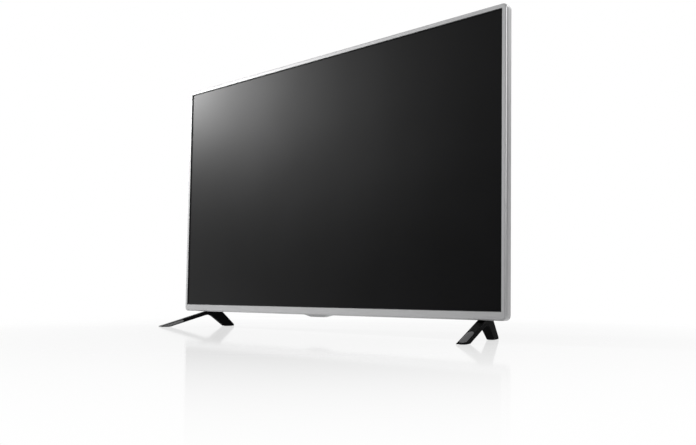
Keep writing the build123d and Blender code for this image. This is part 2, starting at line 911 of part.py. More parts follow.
with BuildPart() as lan_socket:
    for z in socket_heights("lan"):
        block(
            (plate_x, plate_x + lan_length),
            (board_back, board_back + lan_height),
            (z - lan_width / 2, z + lan_width / 2),
        )
        mouth_y = board_back + lan_height / 2
        block(
            (plate_x, plate_x + lan_mouth_depth),
            (mouth_y - lan_mouth_height / 2, mouth_y + lan_mouth_height / 2),
            (z - lan_mouth_width / 2, z + lan_mouth_width / 2),
            mode=Mode.SUBTRACT,
        )

with BuildPart() as optical_socket:
    for z in socket_heights("optical"):
        inner = optical_side / 2 - optical_recess
        block(
            (plate_x, plate_x + optical_length),
            (board_back, board_back + optical_side),
            (z - optical_side / 2, z + optical_side / 2),
        )
        block(
            (plate_x, plate_x + optical_recess),
            (board_back + optical_recess, board_back + optical_side - optical_recess),
            (z - inner, z + inner),
            mode=Mode.SUBTRACT,
        )

with BuildPart() as av_jack:
    for z in socket_heights("jack"):
        block(
            (plate_x, plate_x + jack_length),
            (board_back, board_back + jack_side),
            (z - jack_side / 2, z + jack_side / 2),
        )
        jack_y = board_back + jack_side / 2
        cross_bar(jack_y, z, jack_bore_radius, plate_x, plate_x + jack_bore_depth, mode=Mode.SUBTRACT)

with BuildPart() as antenna_socket:
    for z in socket_heights("antenna"):
        middle = board_back + antenna_can_height / 2
        block(
            (plate_x, plate_x + antenna_can_length),
            (board_back, board_back + antenna_can_height),
            (z - antenna_can_width / 2, z + antenna_can_width / 2),
        )
        cross_bar(middle, z, antenna_radius, plate_x - antenna_length, plate_x)
        bore_end = plate_x - socket_shell
        cross_bar(middle, z, antenna_bore_radius, plate_x - antenna_length, bore_end, mode=Mode.SUBTRACT)


def connector(x, z, upright_slot):
    """Plug block on a board's back, long along Z or along X."""
    width = connector_depth if upright_slot else connector_width
    height = connector_width if upright_slot else connector_depth
    block(
        (x - width / 2, x + width / 2),
        (board_back, board_back + connector_height),
        (z - height / 2, z + height / 2),
    )


with BuildPart() as main_board:
    block((main_left, main_right), (board_front, board_back), (main_low, main_low + main_board_height))
    rods(board_screw_places[:4], screw_hole_radius, board_front, board_back, mode=Mode.SUBTRACT)
    for x in (video_x, supply_x, speaker_right_x, sensor_x, speaker_left_x):
        connector(x, main_low + connector_depth / 2, False)

processor_x = main_left + main_board_width / 2
processor_z = bay_middle_z
with BuildPart() as main_board_chips:
    chip_back = board_back + processor_height
    half_chip = processor_side / 2
    block(
        (processor_x - half_chip, processor_x + half_chip),
        (board_back, chip_back),
        (processor_z - half_chip, processor_z + half_chip),
    )
    for x_step in (-1, 1):
        for z_step in (-1, 1):
            x = processor_x + x_step * (heatsink_side / 2 + memory_width)
            z = processor_z + z_step * memory_length
            block(
                (x - memory_width / 2, x + memory_width / 2),
                (board_back, board_back + memory_height),
                (z - memory_length / 2, z + memory_length / 2),
            )

with BuildPart() as main_heatsink:
    half_sink = heatsink_side / 2
    fin_pitch = (heatsink_side - fin_thick) / (fin_count - 1)
    block(
        (processor_x - half_sink, processor_x + half_sink),
        (chip_back, chip_back + heatsink_base),
        (processor_z - half_sink, processor_z + half_sink),
    )
    for index in range(fin_count):
        fin_x = processor_x - half_sink + index * fin_pitch
        block(
            (fin_x, fin_x + fin_thick),
            (chip_back, chip_back + heatsink_base + fin_height),
            (processor_z - half_sink, processor_z + half_sink),
        )

with BuildPart() as power_board:
    block((power_left, power_right), (board_front, board_back), (power_low, power_low + power_board_height))
    rods(board_screw_places[4:8], screw_hole_radius, board_front, board_back, mode=Mode.SUBTRACT)
    connector(power_left + connector_depth / 2, power_out_z, True)
    connector(light_x, power_high - connector_depth / 2, False)
    connector(power_right - connector_depth / 2, power_in_z, True)

with BuildPart() as power_capacitors:
    for index in range(capacitor_count):
        x = power_left + power_board_width / 2 + (index - (capacitor_count - 1) / 2) * capacitor_pitch
        low = power_low + 2 * board_corner
        upright(x, board_back + capacitor_radius, capacitor_radius, low, low + capacitor_length)
    fillet(power_capacitors.edges().filter_by(GeomType.CIRCLE), radius=capacitor_round)

with BuildPart() as power_transformers:
    for share in transformer_shares:
        x = power_left + power_board_width * share
        z = power_board_middle_z + power_board_height * transformer_height_share
        block(
            (x - transformer_side / 2, x + transformer_side / 2),
            (board_back, board_back + transformer_winding),
            (z - transformer_core / 2, z + transformer_core / 2),
        )
        block(
            (x - transformer_core / 2, x + transformer_core / 2),
            (board_back, board_back + transformer_height),
            (z - transformer_side / 2, z + transformer_side / 2),
        )

with BuildPart() as t_con_board:
    block((-t_con_width / 2, t_con_width / 2), (board_front, t_con_back), (t_con_low, t_con_high))
    rods(board_screw_places[8:], screw_hole_radius, board_front, t_con_back, mode=Mode.SUBTRACT)
    block(
        (video_end_x - connector_width / 2, video_end_x + connector_width / 2),
        (t_con_back, t_con_back + connector_height),
        (t_con_high - connector_depth, t_con_high),
    )

with BuildPart() as t_con_shield:
    shield_right = t_con_width / 2 - 2 * shield_border
    shield_low = t_con_low + shield_border
    shield_high = t_con_high - shield_border
    block((-shield_right, shield_right), (t_con_back, t_con_back + shield_height), (shield_low, shield_high))
    block(
        (-shield_right + shield_sheet, shield_right - shield_sheet),
        (t_con_back, t_con_back + shield_height - shield_sheet),
        (shield_low + shield_sheet, shield_high - shield_sheet),
        mode=Mode.SUBTRACT,
    )

with BuildPart() as board_screws:
    screws(board_screw_places[:8], board_back, standoff_height)
    screws(board_screw_places[8:], t_con_back, standoff_height)

# Ribbons from the timing board down behind the pan to the source boards
pan_floor_low = opening_low + pan_floor_inset
source_back = source_front + source_board_sheet
with BuildPart() as ribbon_cables:
    for side in (-1, 1):
        ribbon_y = t_con_back + ribbon_sheet / 2
        with BuildSketch(Plane.YZ.offset(side * ribbon_x - ribbon_width / 2)):
            with BuildLine():
                Polyline(
                    (ribbon_y, t_con_low + shield_border - fit_gap),
                    (ribbon_y, pan_floor_low - bezel_round),
                    (cabinet_back + groove_width, floor_gap + cabinet_flange + guide_reach),
                    (source_back + groove_width, source_low + source_board_height + cabinet_wall),
                    (source_back + ribbon_sheet / 2, source_low + source_board_height),
                    (source_back + ribbon_sheet / 2, source_low + source_board_height / 2),
                )
                offset(amount=ribbon_sheet / 2, side=Side.BOTH)
            make_face()
        extrude(amount=ribbon_width)

# Mains inlet: moulded socket in the recess's ceiling, open downward
with BuildPart() as ac_inlet:
    inlet_low = inlet_ceiling - inlet_flange_sheet
    block(
        (inlet_x - inlet_flange_width / 2, inlet_x + inlet_flange_width / 2),
        (inlet_y - inlet_flange_depth / 2, inlet_y + inlet_flange_depth / 2),
        (inlet_low, inlet_ceiling),
    )
    block(
        (inlet_x - inlet_body_width / 2, inlet_x + inlet_body_width / 2),
        (inlet_y - inlet_body_depth / 2, inlet_y + inlet_body_depth / 2),
        (inlet_ceiling, inlet_ceiling + inlet_body_height),
    )
    with BuildSketch(Plane.XY.offset(inlet_low)):
        with Locations((inlet_x, inlet_y)):
            SlotOverall(inlet_mouth_width, inlet_mouth_depth)
    extrude(amount=inlet_mouth_length, mode=Mode.SUBTRACT)
    for side in (-1, 1):
        pin_x = inlet_x + side * inlet_pin_spacing / 2
        pin_top = inlet_low + inlet_mouth_length
        upright(pin_x, inlet_y, inlet_pin_radius, pin_top - inlet_pin_length, pin_top)


# Speakers: sealed boxes that fire down, each with a driver and a moving cone
def build_speaker_box(side):
    """One speaker box with a slot-shaped hole in its floor."""
    with BuildPart() as box:
        x_low = min(side * speaker_inner_x, side * speaker_outer_x)
        x_high = max(side * speaker_inner_x, side * speaker_outer_x)
        y_high = speaker_front + speaker_depth
        block((x_low, x_high), (speaker_front, y_high), (speaker_low, speaker_low + speaker_height))
        fillet(box.edges().filter_by(Axis.X), radius=speaker_round)
        block(
            (x_low + speaker_wall, x_high - speaker_wall),
            (speaker_front + speaker_wall, y_high - speaker_wall),
            (speaker_low + speaker_wall, speaker_low + speaker_height - speaker_wall),
            mode=Mode.SUBTRACT,
        )
        with BuildSketch(Plane.XY.offset(speaker_low)):
            with Locations((side * speaker_mid_x, speaker_mid_y)):
                SlotOverall(driver_collar_length + 2 * fit_gap, driver_collar_width + 2 * fit_gap)
        extrude(amount=speaker_wall, mode=Mode.SUBTRACT)
    return box


speaker_box_left = build_speaker_box(-1)
speaker_box_right = build_speaker_box(1)

collar_top = speaker_low + driver_collar_height
with BuildPart() as speaker_drivers:
    for side in (-1, 1):
        with BuildSketch(Plane.XY.offset(speaker_low - driver_flange)):
            with Locations((side * speaker_mid_x, speaker_mid_y)):
                SlotOverall(driver_length, driver_width)
        extrude(amount=driver_flange)
        with BuildSketch(Plane.XY.offset(speaker_low)):
            with Locations((side * speaker_mid_x, speaker_mid_y)):
                SlotOverall(driver_collar_length, driver_collar_width)
        extrude(amount=driver_collar_height)
        with BuildSketch(Plane.XY.offset(speaker_low - driver_flange)):
            with Locations((side * speaker_mid_x, speaker_mid_y)):
                SlotOverall(driver_collar_length - 2 * driver_wall, driver_collar_width - 2 * driver_wall)
        extrude(amount=driver_collar_height + driver_flange, mode=Mode.SUBTRACT)
        block(
            (side * speaker_mid_x - bridge_width, side * speaker_mid_x + bridge_width),
            (speaker_mid_y - driver_collar_width / 2, speaker_mid_y + driver_collar_width / 2),
            (collar_top, collar_top + bridge_sheet),
        )
        magnet_low = collar_top + bridge_sheet
        upright(side * speaker_mid_x, speaker_mid_y, magnet_radius, magnet_low, collar_top + magnet_height)


def build_cone(side):
    """One cone with its surround and coil, clear of the driver's collar."""
    cone_low = speaker_low
    with BuildPart() as cone:
        inner_length = driver_collar_length - 2 * driver_wall - 2 * run_gap
        inner_width = driver_collar_width - 2 * driver_wall - 2 * run_gap
        with BuildSketch(Plane.XY.offset(cone_low)):
            with Locations((side * speaker_mid_x, speaker_mid_y)):
                SlotOverall(inner_length, inner_width)
        extrude(amount=cone_sheet)
        coil_low = cone_low + cone_sheet
        coil_high = coil_low + coil_height
        x = side * speaker_mid_x
        upright(x, speaker_mid_y, coil_radius, coil_low, coil_high)
        upright(x, speaker_mid_y, coil_radius - coil_wall, coil_low, coil_high, mode=Mode.SUBTRACT)
    return cone


speaker_cone_left = build_cone(-1)
speaker_cone_right = build_cone(1)

# Lip under the bezel: housing of the remote sensor and the joystick
stalk_top = sensor_board_z
with BuildPart() as joystick_housing:
    with BuildSketch(at_depth(lip_back)):
        with BuildLine():
            Polyline(
                (-lip_width / 2, floor_gap),
                (-lip_flat_width / 2, lip_low),
                (lip_flat_width / 2, lip_low),
                (lip_width / 2, floor_gap),
                close=True,
            )
        make_face()
        fillet(vertices().group_by(Axis.Y)[0], radius=lip_corner_round)
    extrude(amount=lip_back - lip_front)
    fillet(
        joystick_housing.edges().filter_by(Axis.X).group_by(Axis.Z)[0],
        radius=lip_edge_round,
    )
    block((-stalk_width / 2, stalk_width / 2), (stalk_low_y, stalk_high_y), (floor_gap, stalk_top))
    upright(0, joystick_y, cap_recess_radius, lip_low, lip_low + cap_recess_depth, mode=Mode.SUBTRACT)
    cavity_half = ring_radius + run_gap
    block(
        (-cavity_half, cavity_half),
        (joystick_y - cavity_half, joystick_y + cavity_half),
        (pivot_height - cavity_drop, stalk_top),
        mode=Mode.SUBTRACT,
    )
    upright(0, joystick_y, stick_hole_radius, lip_low, pivot_height, mode=Mode.SUBTRACT)
    pin_reach = cavity_half + pivot_pin_bite + pin_gap
    cross_bar(joystick_y, pivot_height, pivot_pin_radius + pin_gap, -pin_reach, pin_reach, mode=Mode.SUBTRACT)
    half_window = lens_window_width / 2
    block(
        (lens_window_x - half_window, lens_window_x + half_window),
        (joystick_y - lens_window_depth / 2, joystick_y + lens_window_depth / 2),
        (lip_low, stalk_top),
        mode=Mode.SUBTRACT,
    )

with BuildPart() as sensor_lens:
    block(
        (lens_window_x - half_window + fit_gap / 2, lens_window_x + half_window - fit_gap / 2),
        (joystick_y - lens_window_depth / 2 + fit_gap / 2, joystick_y + lens_window_depth / 2 - fit_gap / 2),
        (lip_low, lip_low + lens_window_height),
    )

with BuildPart() as sensor_board:
    block(
        (-stalk_width / 2, stalk_width / 2),
        (stalk_low_y, stalk_high_y),
        (stalk_top, stalk_top + sensor_board_sheet),
    )
    upright(0, joystick_y, switch_radius, stalk_top - switch_height, stalk_top)
    block(
        (lens_window_x - half_window / 2, lens_window_x + half_window / 2),
        (joystick_y - lens_window_depth / 4, joystick_y + lens_window_depth / 4),
        (stalk_top - 2 * switch_height, stalk_top),
    )

# Joystick: outer ring tilts fore and aft, the rocker in it left and right, the stick slides up
with BuildPart() as joystick_ring:
    ring_low = pivot_height - ring_height / 2
    upright(0, joystick_y, ring_radius, ring_low, ring_low + ring_height)
    pin_end = cavity_half + pivot_pin_bite
    cross_bar(joystick_y, pivot_height, pivot_pin_radius, -pin_end, pin_end)
    upright(0, joystick_y, ring_radius - ring_width, ring_low, ring_low + ring_height, mode=Mode.SUBTRACT)
    ring_front = joystick_y - ring_radius
    ring_back = joystick_y + ring_radius
    rods([(0, pivot_height)], pivot_pin_radius + pin_gap, ring_front, ring_back, mode=Mode.SUBTRACT)

with BuildPart() as joystick_rocker:
    upright(0, joystick_y, rocker_radius, ring_low, ring_low + ring_height)
    upright(0, joystick_y, rocker_tube_radius, pivot_height, pivot_height + rocker_top)
    pin_half = ring_radius - pin_gap
    rods([(0, pivot_height)], pivot_pin_radius, joystick_y - pin_half, joystick_y + pin_half)
    upright(0, joystick_y, stick_radius + pin_gap, ring_low, pivot_height + rocker_top, mode=Mode.SUBTRACT)

with BuildPart() as joystick_knob:
    cap_low = lip_low + cap_inset
    stick_top = pivot_height + rocker_top + fit_gap + stick_head_height
    upright(0, joystick_y, cap_radius, cap_low, cap_low + cap_height)
    fillet(joystick_knob.edges(), radius=cap_round)
    upright(0, joystick_y, stick_radius, cap_low + cap_height, stick_top)
    upright(0, joystick_y, stick_head_radius, stick_top - stick_head_height, stick_top)

# Feet
along_right = Vector(-sin(radians(foot_splay)), cos(radians(foot_splay)), 0)
outward_right = Vector(cos(radians(foot_splay)), sin(radians(foot_splay)), 0)
foot_origin = Vector(foot_x, 0, 0)
foot_plane = Plane(origin=foot_origin, x_dir=along_right, z_dir=outward_right)
sole_plane = Plane(origin=foot_origin, x_dir=along_right, z_dir=(0, 0, 1))
pad_s = foot_reach - pad_from_end - pad_length / 2
arm_top = floor_gap - foot_neck_height
with BuildPart() as foot_right:
    with BuildSketch(foot_plane):
        with BuildLine():
            Polyline(
                (-foot_reach, pad_proud),
                (-foot_reach, pad_proud + foot_nose),
                (foot_neck, arm_top),
                (foot_neck, foot_hump_z),
                (foot_hump, foot_hump_z),
                (foot_reach, foot_back_corner_z),
                (foot_reach, pad_proud),
                (foot_back_heel, pad_proud),
                (foot_vault_s, foot_vault_z),
                (-foot_front_heel, pad_proud),
                close=True,
            )
        make_face()
        corners = vertices()
        fillet(corners.sort_by_distance((foot_vault_s, foot_vault_z))[0], radius=foot_vault_round)
        fillet(vertices().sort_by_distance((foot_hump, foot_hump_z))[0], radius=foot_hump_round)
        fillet(vertices().sort_by_distance((foot_reach, foot_back_corner_z))[0], radius=foot_back_round)
    extrude(amount=foot_thick / 2, both=True)
    with BuildSketch(sole_plane):
        with BuildLine():
            inner_side = foot_thick / 2
            Polyline(
                (-foot_reach - overrun, -inner_side),
                (-foot_reach - overrun, inner_side),
                (foot_taper_start, inner_side),
                (foot_reach, inner_side - foot_taper),
                (foot_reach, -inner_side),
                close=True,
            )
        make_face()
        back_corners = [corner for corner in vertices() if corner.Y > foot_reach / 2]
        fillet(back_corners, radius=foot_plan_round)
    extrude(amount=foot_hump_z + overrun, mode=Mode.INTERSECT)
    side_faces = [
        face for face in foot_right.faces()
        if abs(face.normal_at().dot(outward_right)) > 0.9 and face.area > foot_thick * foot_thick
    ]
    side_edges = ShapeList(side_faces).edges()
    fillet(side_edges.filter_by(lambda edge: edge.center().Z > pad_proud + foot_nose), radius=foot_edge_round)
    add(cover_form.part, mode=Mode.SUBTRACT)
    block(
        (tongue_x - tongue_width / 2, tongue_x + tongue_width / 2),
        (tongue_front, tongue_front + tongue_depth),
        (floor_gap, tongue_top),
    )
    rods(
        [place for place in foot_screw_places if place[0] > 0],
        screw_hole_radius,
        tongue_front,
        tongue_front + tongue_depth,
        mode=Mode.SUBTRACT,
    )
    with BuildSketch(sole_plane.offset(pad_proud - overrun)):
        with Locations((-pad_s, 0), (pad_s, 0)):
            RectangleRounded(pad_length + 2 * fit_gap, pad_width + 2 * fit_gap, pad_round)
    extrude(amount=overrun + pad_sunk, mode=Mode.SUBTRACT)

with BuildPart() as foot_left:
    mirror(foot_right.part, about=Plane.YZ)

with BuildPart() as pads_right:
    with BuildSketch(sole_plane):
        with Locations((-pad_s, 0), (pad_s, 0)):
            RectangleRounded(pad_length, pad_width, pad_round)
    extrude(amount=pad_proud + pad_sunk)

with BuildPart() as foot_pads:
    add(pads_right.part)
    mirror(pads_right.part, about=Plane.YZ)

with BuildPart() as foot_screws:
    screws(foot_screw_places, foot_seat, foot_screw_length)


# Stand brackets: steel sleeves on the pan that take the feet's tongues
def build_bracket(side):
    """One bracket on the pan's back."""
    with BuildPart() as bracket:
        x = side * tongue_x
        sleeve = tongue_width / 2 + fit_gap + bracket_sheet
        block((x - sleeve, x + sleeve), (pan_back, bracket_back), (bracket_low, tongue_top + bracket_sheet))
        plate_low = pan_floor_low + bezel_wall
        block(
            (x - bracket_width / 2, x + bracket_width / 2),
            (pan_back, pan_back + bracket_sheet),
            (plate_low, bracket_top),
        )
        block(
            (x - sleeve + bracket_sheet, x + sleeve - bracket_sheet),
            (tongue_front - fit_gap, bracket_back - bracket_sheet),
            (bracket_low - overrun, tongue_top + bracket_sheet + overrun),
            mode=Mode.SUBTRACT,
        )
        rods(
            [place for place in foot_screw_places if place[0] * side > 0],
            screw_hole_radius,
            bracket_back - bracket_sheet,
            bracket_back,
            mode=Mode.SUBTRACT,
        )
    return bracket


stand_bracket_left = build_bracket(-1)
stand_bracket_right = build_bracket(1)

# Leads inside the cover, each from one connector to the next
plug_y = board_back + connector_height / 2
lane_y = pan_back + mains_lead
thin_lane_y = pan_back + speaker_lead + run_gap
supply_lane = t_con_high + 3 * lane_step
speaker_lane = supply_lane - lane_step
sensor_lane = speaker_lane - lane_step
video_lane = supply_lane + 2 * lane_step
with BuildPart() as inlet_lead:
    inlet_lead_low = inlet_ceiling + inlet_body_height
    lead(
        "inlet_lead",
        [
            (inlet_x, inlet_y, inlet_lead_low),
            (inlet_x, inlet_y, inlet_lead_low + plug_pitch),
            (power_right + plug_pitch, plug_y, power_in_z),
            (power_right, plug_y, power_in_z),
        ],
        mains_lead,
    )

with BuildPart() as power_harness:
    lead(
        "power_harness",
        [
            (power_left, plug_y, power_out_z),
            (power_left - socket_gap, plug_y, power_out_z),
            (power_left - plug_pitch, lane_y, supply_lane),
            (supply_x + plug_pitch, lane_y, supply_lane),
            (supply_x, plug_y, main_low - plug_pitch),
            (supply_x, plug_y, main_low),
        ],
        power_lead,
    )

with BuildPart() as video_cable:
    video_y = t_con_back + connector_height / 2
    lead(
        "video_cable",
        [
            (video_x, video_y, main_low),
            (video_x, video_y, video_lane),
            (video_end_x, video_y, video_lane),
            (video_end_x, video_y, t_con_high),
        ],
        video_lead,
    )

with BuildPart() as backlight_harness:
    lead(
        "backlight_harness",
        [(light_x, plug_y, power_high), (light_x, plug_y, light_z), (light_x, pan_floor, light_z)],
        speaker_lead,
    )

speaker_top = speaker_low + speaker_height
with BuildPart() as speaker_leads:
    lead(
        "speaker_lead_left",
        [
            (speaker_left_x + plug_pitch, plug_y, speaker_top),
            (speaker_left_x + plug_pitch, plug_y, speaker_top + plug_pitch),
            (speaker_left_x, plug_y, sensor_lane),
            (speaker_left_x, plug_y, main_low),
        ],
        speaker_lead,
    )
    lead(
        "speaker_lead_right",
        [
            (speaker_inner_x + plug_pitch, plug_y, speaker_top),
            (speaker_inner_x + plug_pitch, plug_y, speaker_top + plug_pitch),
            (speaker_inner_x, thin_lane_y, speaker_lane),
            (speaker_right_x + plug_pitch, thin_lane_y, speaker_lane),
            (speaker_right_x, plug_y, supply_lane),
            (speaker_right_x, plug_y, main_low),
        ],
        speaker_lead,
    )

sensor_lead_x = stalk_width / 2 - connector_depth
with BuildPart() as sensor_lead:
    lead(
        "sensor_lead",
        [
            (sensor_lead_x, joystick_y + sensor_lead_size, stalk_top + sensor_board_sheet),
            (sensor_lead_x, joystick_y + sensor_lead_size, opening_low - sensor_lead_size / 2),
            (sensor_lead_x, pan_back, pan_floor_low - connector_depth - sensor_lead_size / 2),
            (sensor_lead_x, thin_lane_y, pan_floor_low + connector_depth),
            (sensor_lead_x, thin_lane_y, sensor_lane),
            (sensor_x + plug_pitch, thin_lane_y, sensor_lane),
            (sensor_x, plug_y, supply_lane),
            (sensor_x, plug_y, main_low),
        ],
        sensor_lead_size,
    )

pieces = {
    "front_bezel": front_bezel,
    "middle_cabinet": middle_cabinet,
    "rear_cover": rear_cover,
    "rear_cover_screws": rear_cover_screws,
    "terminal_plate": terminal_plate,
    "wall_mount_rail_left": wall_mount_rail_left,
    "wall_mount_rail_right": wall_mount_rail_right,
    "joystick_housing": joystick_housing,
    "sensor_lens": sensor_lens,
    "sensor_board": sensor_board,
    "joystick_ring": joystick_ring,
    "joystick_rocker": joystick_rocker,
    "joystick_knob": joystick_knob,
    "lcd_cell": lcd_cell,
    "lcd_flex_films": lcd_flex_films,
    "source_boards": source_boards,
    "panel_guide_frame": panel_guide_frame,
    "prism_sheet": prism_sheet,
    "diffuser_sheet": diffuser_sheet,
    "diffuser_plate": diffuser_plate,
    "diffuser_supports": diffuser_supports,
    "reflector_sheet": reflector_sheet,
    "led_strips": led_strips,
    "led_chips": led_chips,
    "led_lenses": led_lenses,
    "backlight_pan": backlight_pan,
    "main_board": main_board,
    "main_board_chips": main_board_chips,
    "main_heatsink": main_heatsink,
    "hdmi_sockets": hdmi_sockets,
    "usb_sockets": usb_sockets,
    "lan_socket": lan_socket,
    "optical_socket": optical_socket,
    "av_jack": av_jack,
    "antenna_socket": antenna_socket,
    "t_con_board": t_con_board,
    "t_con_shield": t_con_shield,
    "ribbon_cables": ribbon_cables,
    "power_board": power_board,
    "power_capacitors": power_capacitors,
    "power_transformers": power_transformers,
    "board_screws": board_screws,
    "ac_inlet": ac_inlet,
    "inlet_lead": inlet_lead,
    "power_harness": power_harness,
    "video_cable": video_cable,
    "backlight_harness": backlight_harness,
    "speaker_leads": speaker_leads,
    "sensor_lead": sensor_lead,
    "speaker_box_left": speaker_box_left,
    "speaker_box_right": speaker_box_right,
    "speaker_drivers": speaker_drivers,
    "speaker_cone_left": speaker_cone_left,
    "speaker_cone_right": speaker_cone_right,
    "stand_bracket_left": stand_bracket_left,
    "stand_bracket_right": stand_bracket_right,
    "foot_left": foot_left,
    "foot_right": foot_right,
    "foot_pads": foot_pads,
    "foot_screws": foot_screws,
}
for name, piece in pieces.items():
    piece.part.label = name
    export_step(piece.part, f"parts/{name}.step")
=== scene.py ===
"""Looks of the flat screen television: materials, small detail pieces, studio and camera.

X runs to the viewer's right, Y from the front face to the back and Z up, in metres.
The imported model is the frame; every piece here sits on it.
"""
import json
import math

import bpy
import bmesh
from mathutils import Matrix, Vector


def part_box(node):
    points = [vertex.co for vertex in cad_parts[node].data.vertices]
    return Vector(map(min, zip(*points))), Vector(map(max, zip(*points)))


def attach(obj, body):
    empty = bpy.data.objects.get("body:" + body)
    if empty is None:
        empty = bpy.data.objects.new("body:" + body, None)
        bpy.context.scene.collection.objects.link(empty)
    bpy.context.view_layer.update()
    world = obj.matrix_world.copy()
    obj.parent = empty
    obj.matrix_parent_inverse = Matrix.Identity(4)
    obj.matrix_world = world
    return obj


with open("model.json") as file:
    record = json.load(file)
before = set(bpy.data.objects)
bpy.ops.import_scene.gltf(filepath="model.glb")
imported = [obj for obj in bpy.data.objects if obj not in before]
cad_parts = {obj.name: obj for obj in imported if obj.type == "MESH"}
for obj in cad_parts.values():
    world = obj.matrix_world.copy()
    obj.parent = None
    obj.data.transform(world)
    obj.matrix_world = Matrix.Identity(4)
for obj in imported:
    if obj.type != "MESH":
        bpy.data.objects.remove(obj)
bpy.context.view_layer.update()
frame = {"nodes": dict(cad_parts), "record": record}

scene = bpy.context.scene

MM = 0.001
WHITE = (1, 1, 1, 1)

# Camera, from the photograph's perspective
CAMERA_PLACE = (1.5431, -1.3957, 0.1021)
CAMERA_YAW = 39.6633
CAMERA_PITCH = 2.991
CAMERA_ROLL = 0.4941
CAMERA_FOCAL_PIXELS = 754.56
CAMERA_NEAR = 0.01
CAMERA_FAR = 60
IMAGE_WIDTH = 696
IMAGE_HEIGHT = 445
IMAGE_CENTRE = (424.07, 256.68)
SENSOR_WIDTH = 36.0

# Lamps, all aimed at the middle of the set: name, place, size and power
LAMP_TARGET = (0, 0, 0.4)
LAMPS = (
    ("key_lamp", (-3.70, -1.08, 1.88), (0.52, 0.80), 178),
    ("fill_lamp", (3.3, -1.5, 1.7), (2.2, 2.2), 72),
    ("back_lamp", (1.2, 3.2, 2.6), (2.0, 2.0), 50),
)

# Floor: white, with a share of real shadow and of gloss that fade away from the set
FLOOR_SIZE = 16.0
FLOOR_DROP = 0.2 * MM
FLOOR_TONE = 0.9
FLOOR_TONE_DRIFT = 0.01
FLOOR_SHADOW_SHARE = 0.09
FLOOR_SHADOW_NEAR = 0.9
FLOOR_SHADOW_FAR = 1.6
FLOOR_GLOSS_ROUGHNESS = 0.065
FLOOR_GLOSS_SHARE = 0.27
FLOOR_GLOSS_NEAR = 0.3
FLOOR_GLOSS_FAR = 1.75
# In reflections the floor dims along an axis
FLOOR_AXIS = (-1.0, 1.7, 0.0)
FLOOR_DIM_AT = -1.0
FLOOR_BRIGHT_AT = -0.1
FLOOR_DIM = 0.2

# World: soft light on the set, and for reflections a room that dims along an axis
ROOM_LIGHT = 0.34
ROOM_COLOUR = (0.8, 0.8, 0.8, 1)
ROOM_AXIS = (-1.0, 0.35, 1.1)
ROOM_DIM_AT = 0.38
ROOM_BRIGHT_AT = 0.7
ROOM_DIM = 0.05
ROOM_BRIGHT = 1.0

# Materials: where most of a noise texture's values lie, the boards' vias, and the screen's tones
NOISE_RANGE = (0.3, 0.7)
WHOLE_RANGE = (0.0, 1.0)
VIA_RADIUS = 0.12
VIA_TIN = (0.45, 0.44, 0.4)
SCREEN_DARK = (0.0019, 0.0019, 0.0022)
SCREEN_LIGHT = (0.0025, 0.0025, 0.0029)
SCREEN_MASK = (0.0012, 0.0012, 0.002)

# Screen: how far the bezel laps over the cell, and the masked border inside the bezel
CELL_OVERLAP = 3.0 * MM
SCREEN_BORDER = 4.5 * MM
SCREEN_EDGE_BLUR = 0.4 * MM

# Gasket lip between the bezel's inner edge and the screen
GASKET_WIDTH = 1.0 * MM
GASKET_FRONT = 0.3 * MM
GASKET_ROUND = 0.35 * MM
GASKET_LAP = 0.45 * MM
GASKET_LAP_FRONT = 0.02 * MM

# Feet: (along, height) of the front arm's top line and of the vault's line under it
FOOT_X = 547.7 * MM
FOOT_SPLAY = math.radians(17)
FOOT_HALF = 11.5 * MM
ARM_NOSE = (-117.5 * MM, 2.6 * MM)
ARM_NECK = (25 * MM, 48.1 * MM)
ARM_HEEL = (-86 * MM, 0.8 * MM)
ARM_VAULT = (35 * MM, 39.5 * MM)

# Lighter fields on the front arms: painted sheen and painted reflection on the black feet
FIELD_FROM = -112 * MM
FIELD_TO = -46 * MM
FIELD_EDGE = 1.8 * MM
FIELD_ROUND = 16 * MM
FIELD_NOSE = 6 * MM
FIELD_NOSE_WIDTH = 0.7
FIELD_CROWN = 0.8 * MM
FIELD_SUNK = 0.5 * MM
FIELD_LEAST_HALF = 0.3 * MM
FIELD_LEAST_SWELL = 0.04
FIELD_LEAST_CROWN = 0.05
FIELD_STATIONS = 25
FIELD_STEPS = 16

# Terminals, on the plate at the bay's inner wall: depths run from the plate's face into the set,
# lifts from the back of the main board
PLATE_X = -427.5 * MM
BOARD_BACK = 37.4 * MM
OUTWARD = (-1, 0, 0)

# Sockets with a tongue; a row of contacts is the face of the tongue that it is on, and a number
USB_PLACES = (407.1 * MM, 384.9 * MM)
USB_TONGUE = dict(lift=2.9 * MM, half=5.1 * MM, rows=((1, 4),), width=1.1 * MM, pitch=2.4 * MM)
HDMI_PLACES = (361.8 * MM, 337.8 * MM, 313.8 * MM)
HDMI_TONGUE = dict(
    lift=3.0 * MM, half=6.0 * MM, rows=((1, 10), (-1, 9)), width=0.5 * MM, pitch=1.0 * MM,
)
TONGUE_DEPTHS = (0.3 * MM, 9.0 * MM)
TONGUE_HALF = 0.85 * MM
TONGUE_EDGE = 0.2 * MM
CONTACT_DEPTHS = (1.1 * MM, 8.8 * MM)
CONTACT_HALF = 0.06 * MM

# Springs of the network socket: (depth, rise) of their low front end and high back end
LAN_PLACE = 289.3 * MM
LAN_LIFT = 2.65 * MM
LAN_SPRINGS = 8
LAN_PITCH = 1.02 * MM
LAN_RADIUS = 0.22 * MM
LAN_START = (2.2 * MM, 0.3 * MM)
LAN_END = (10.5 * MM, 3.2 * MM)

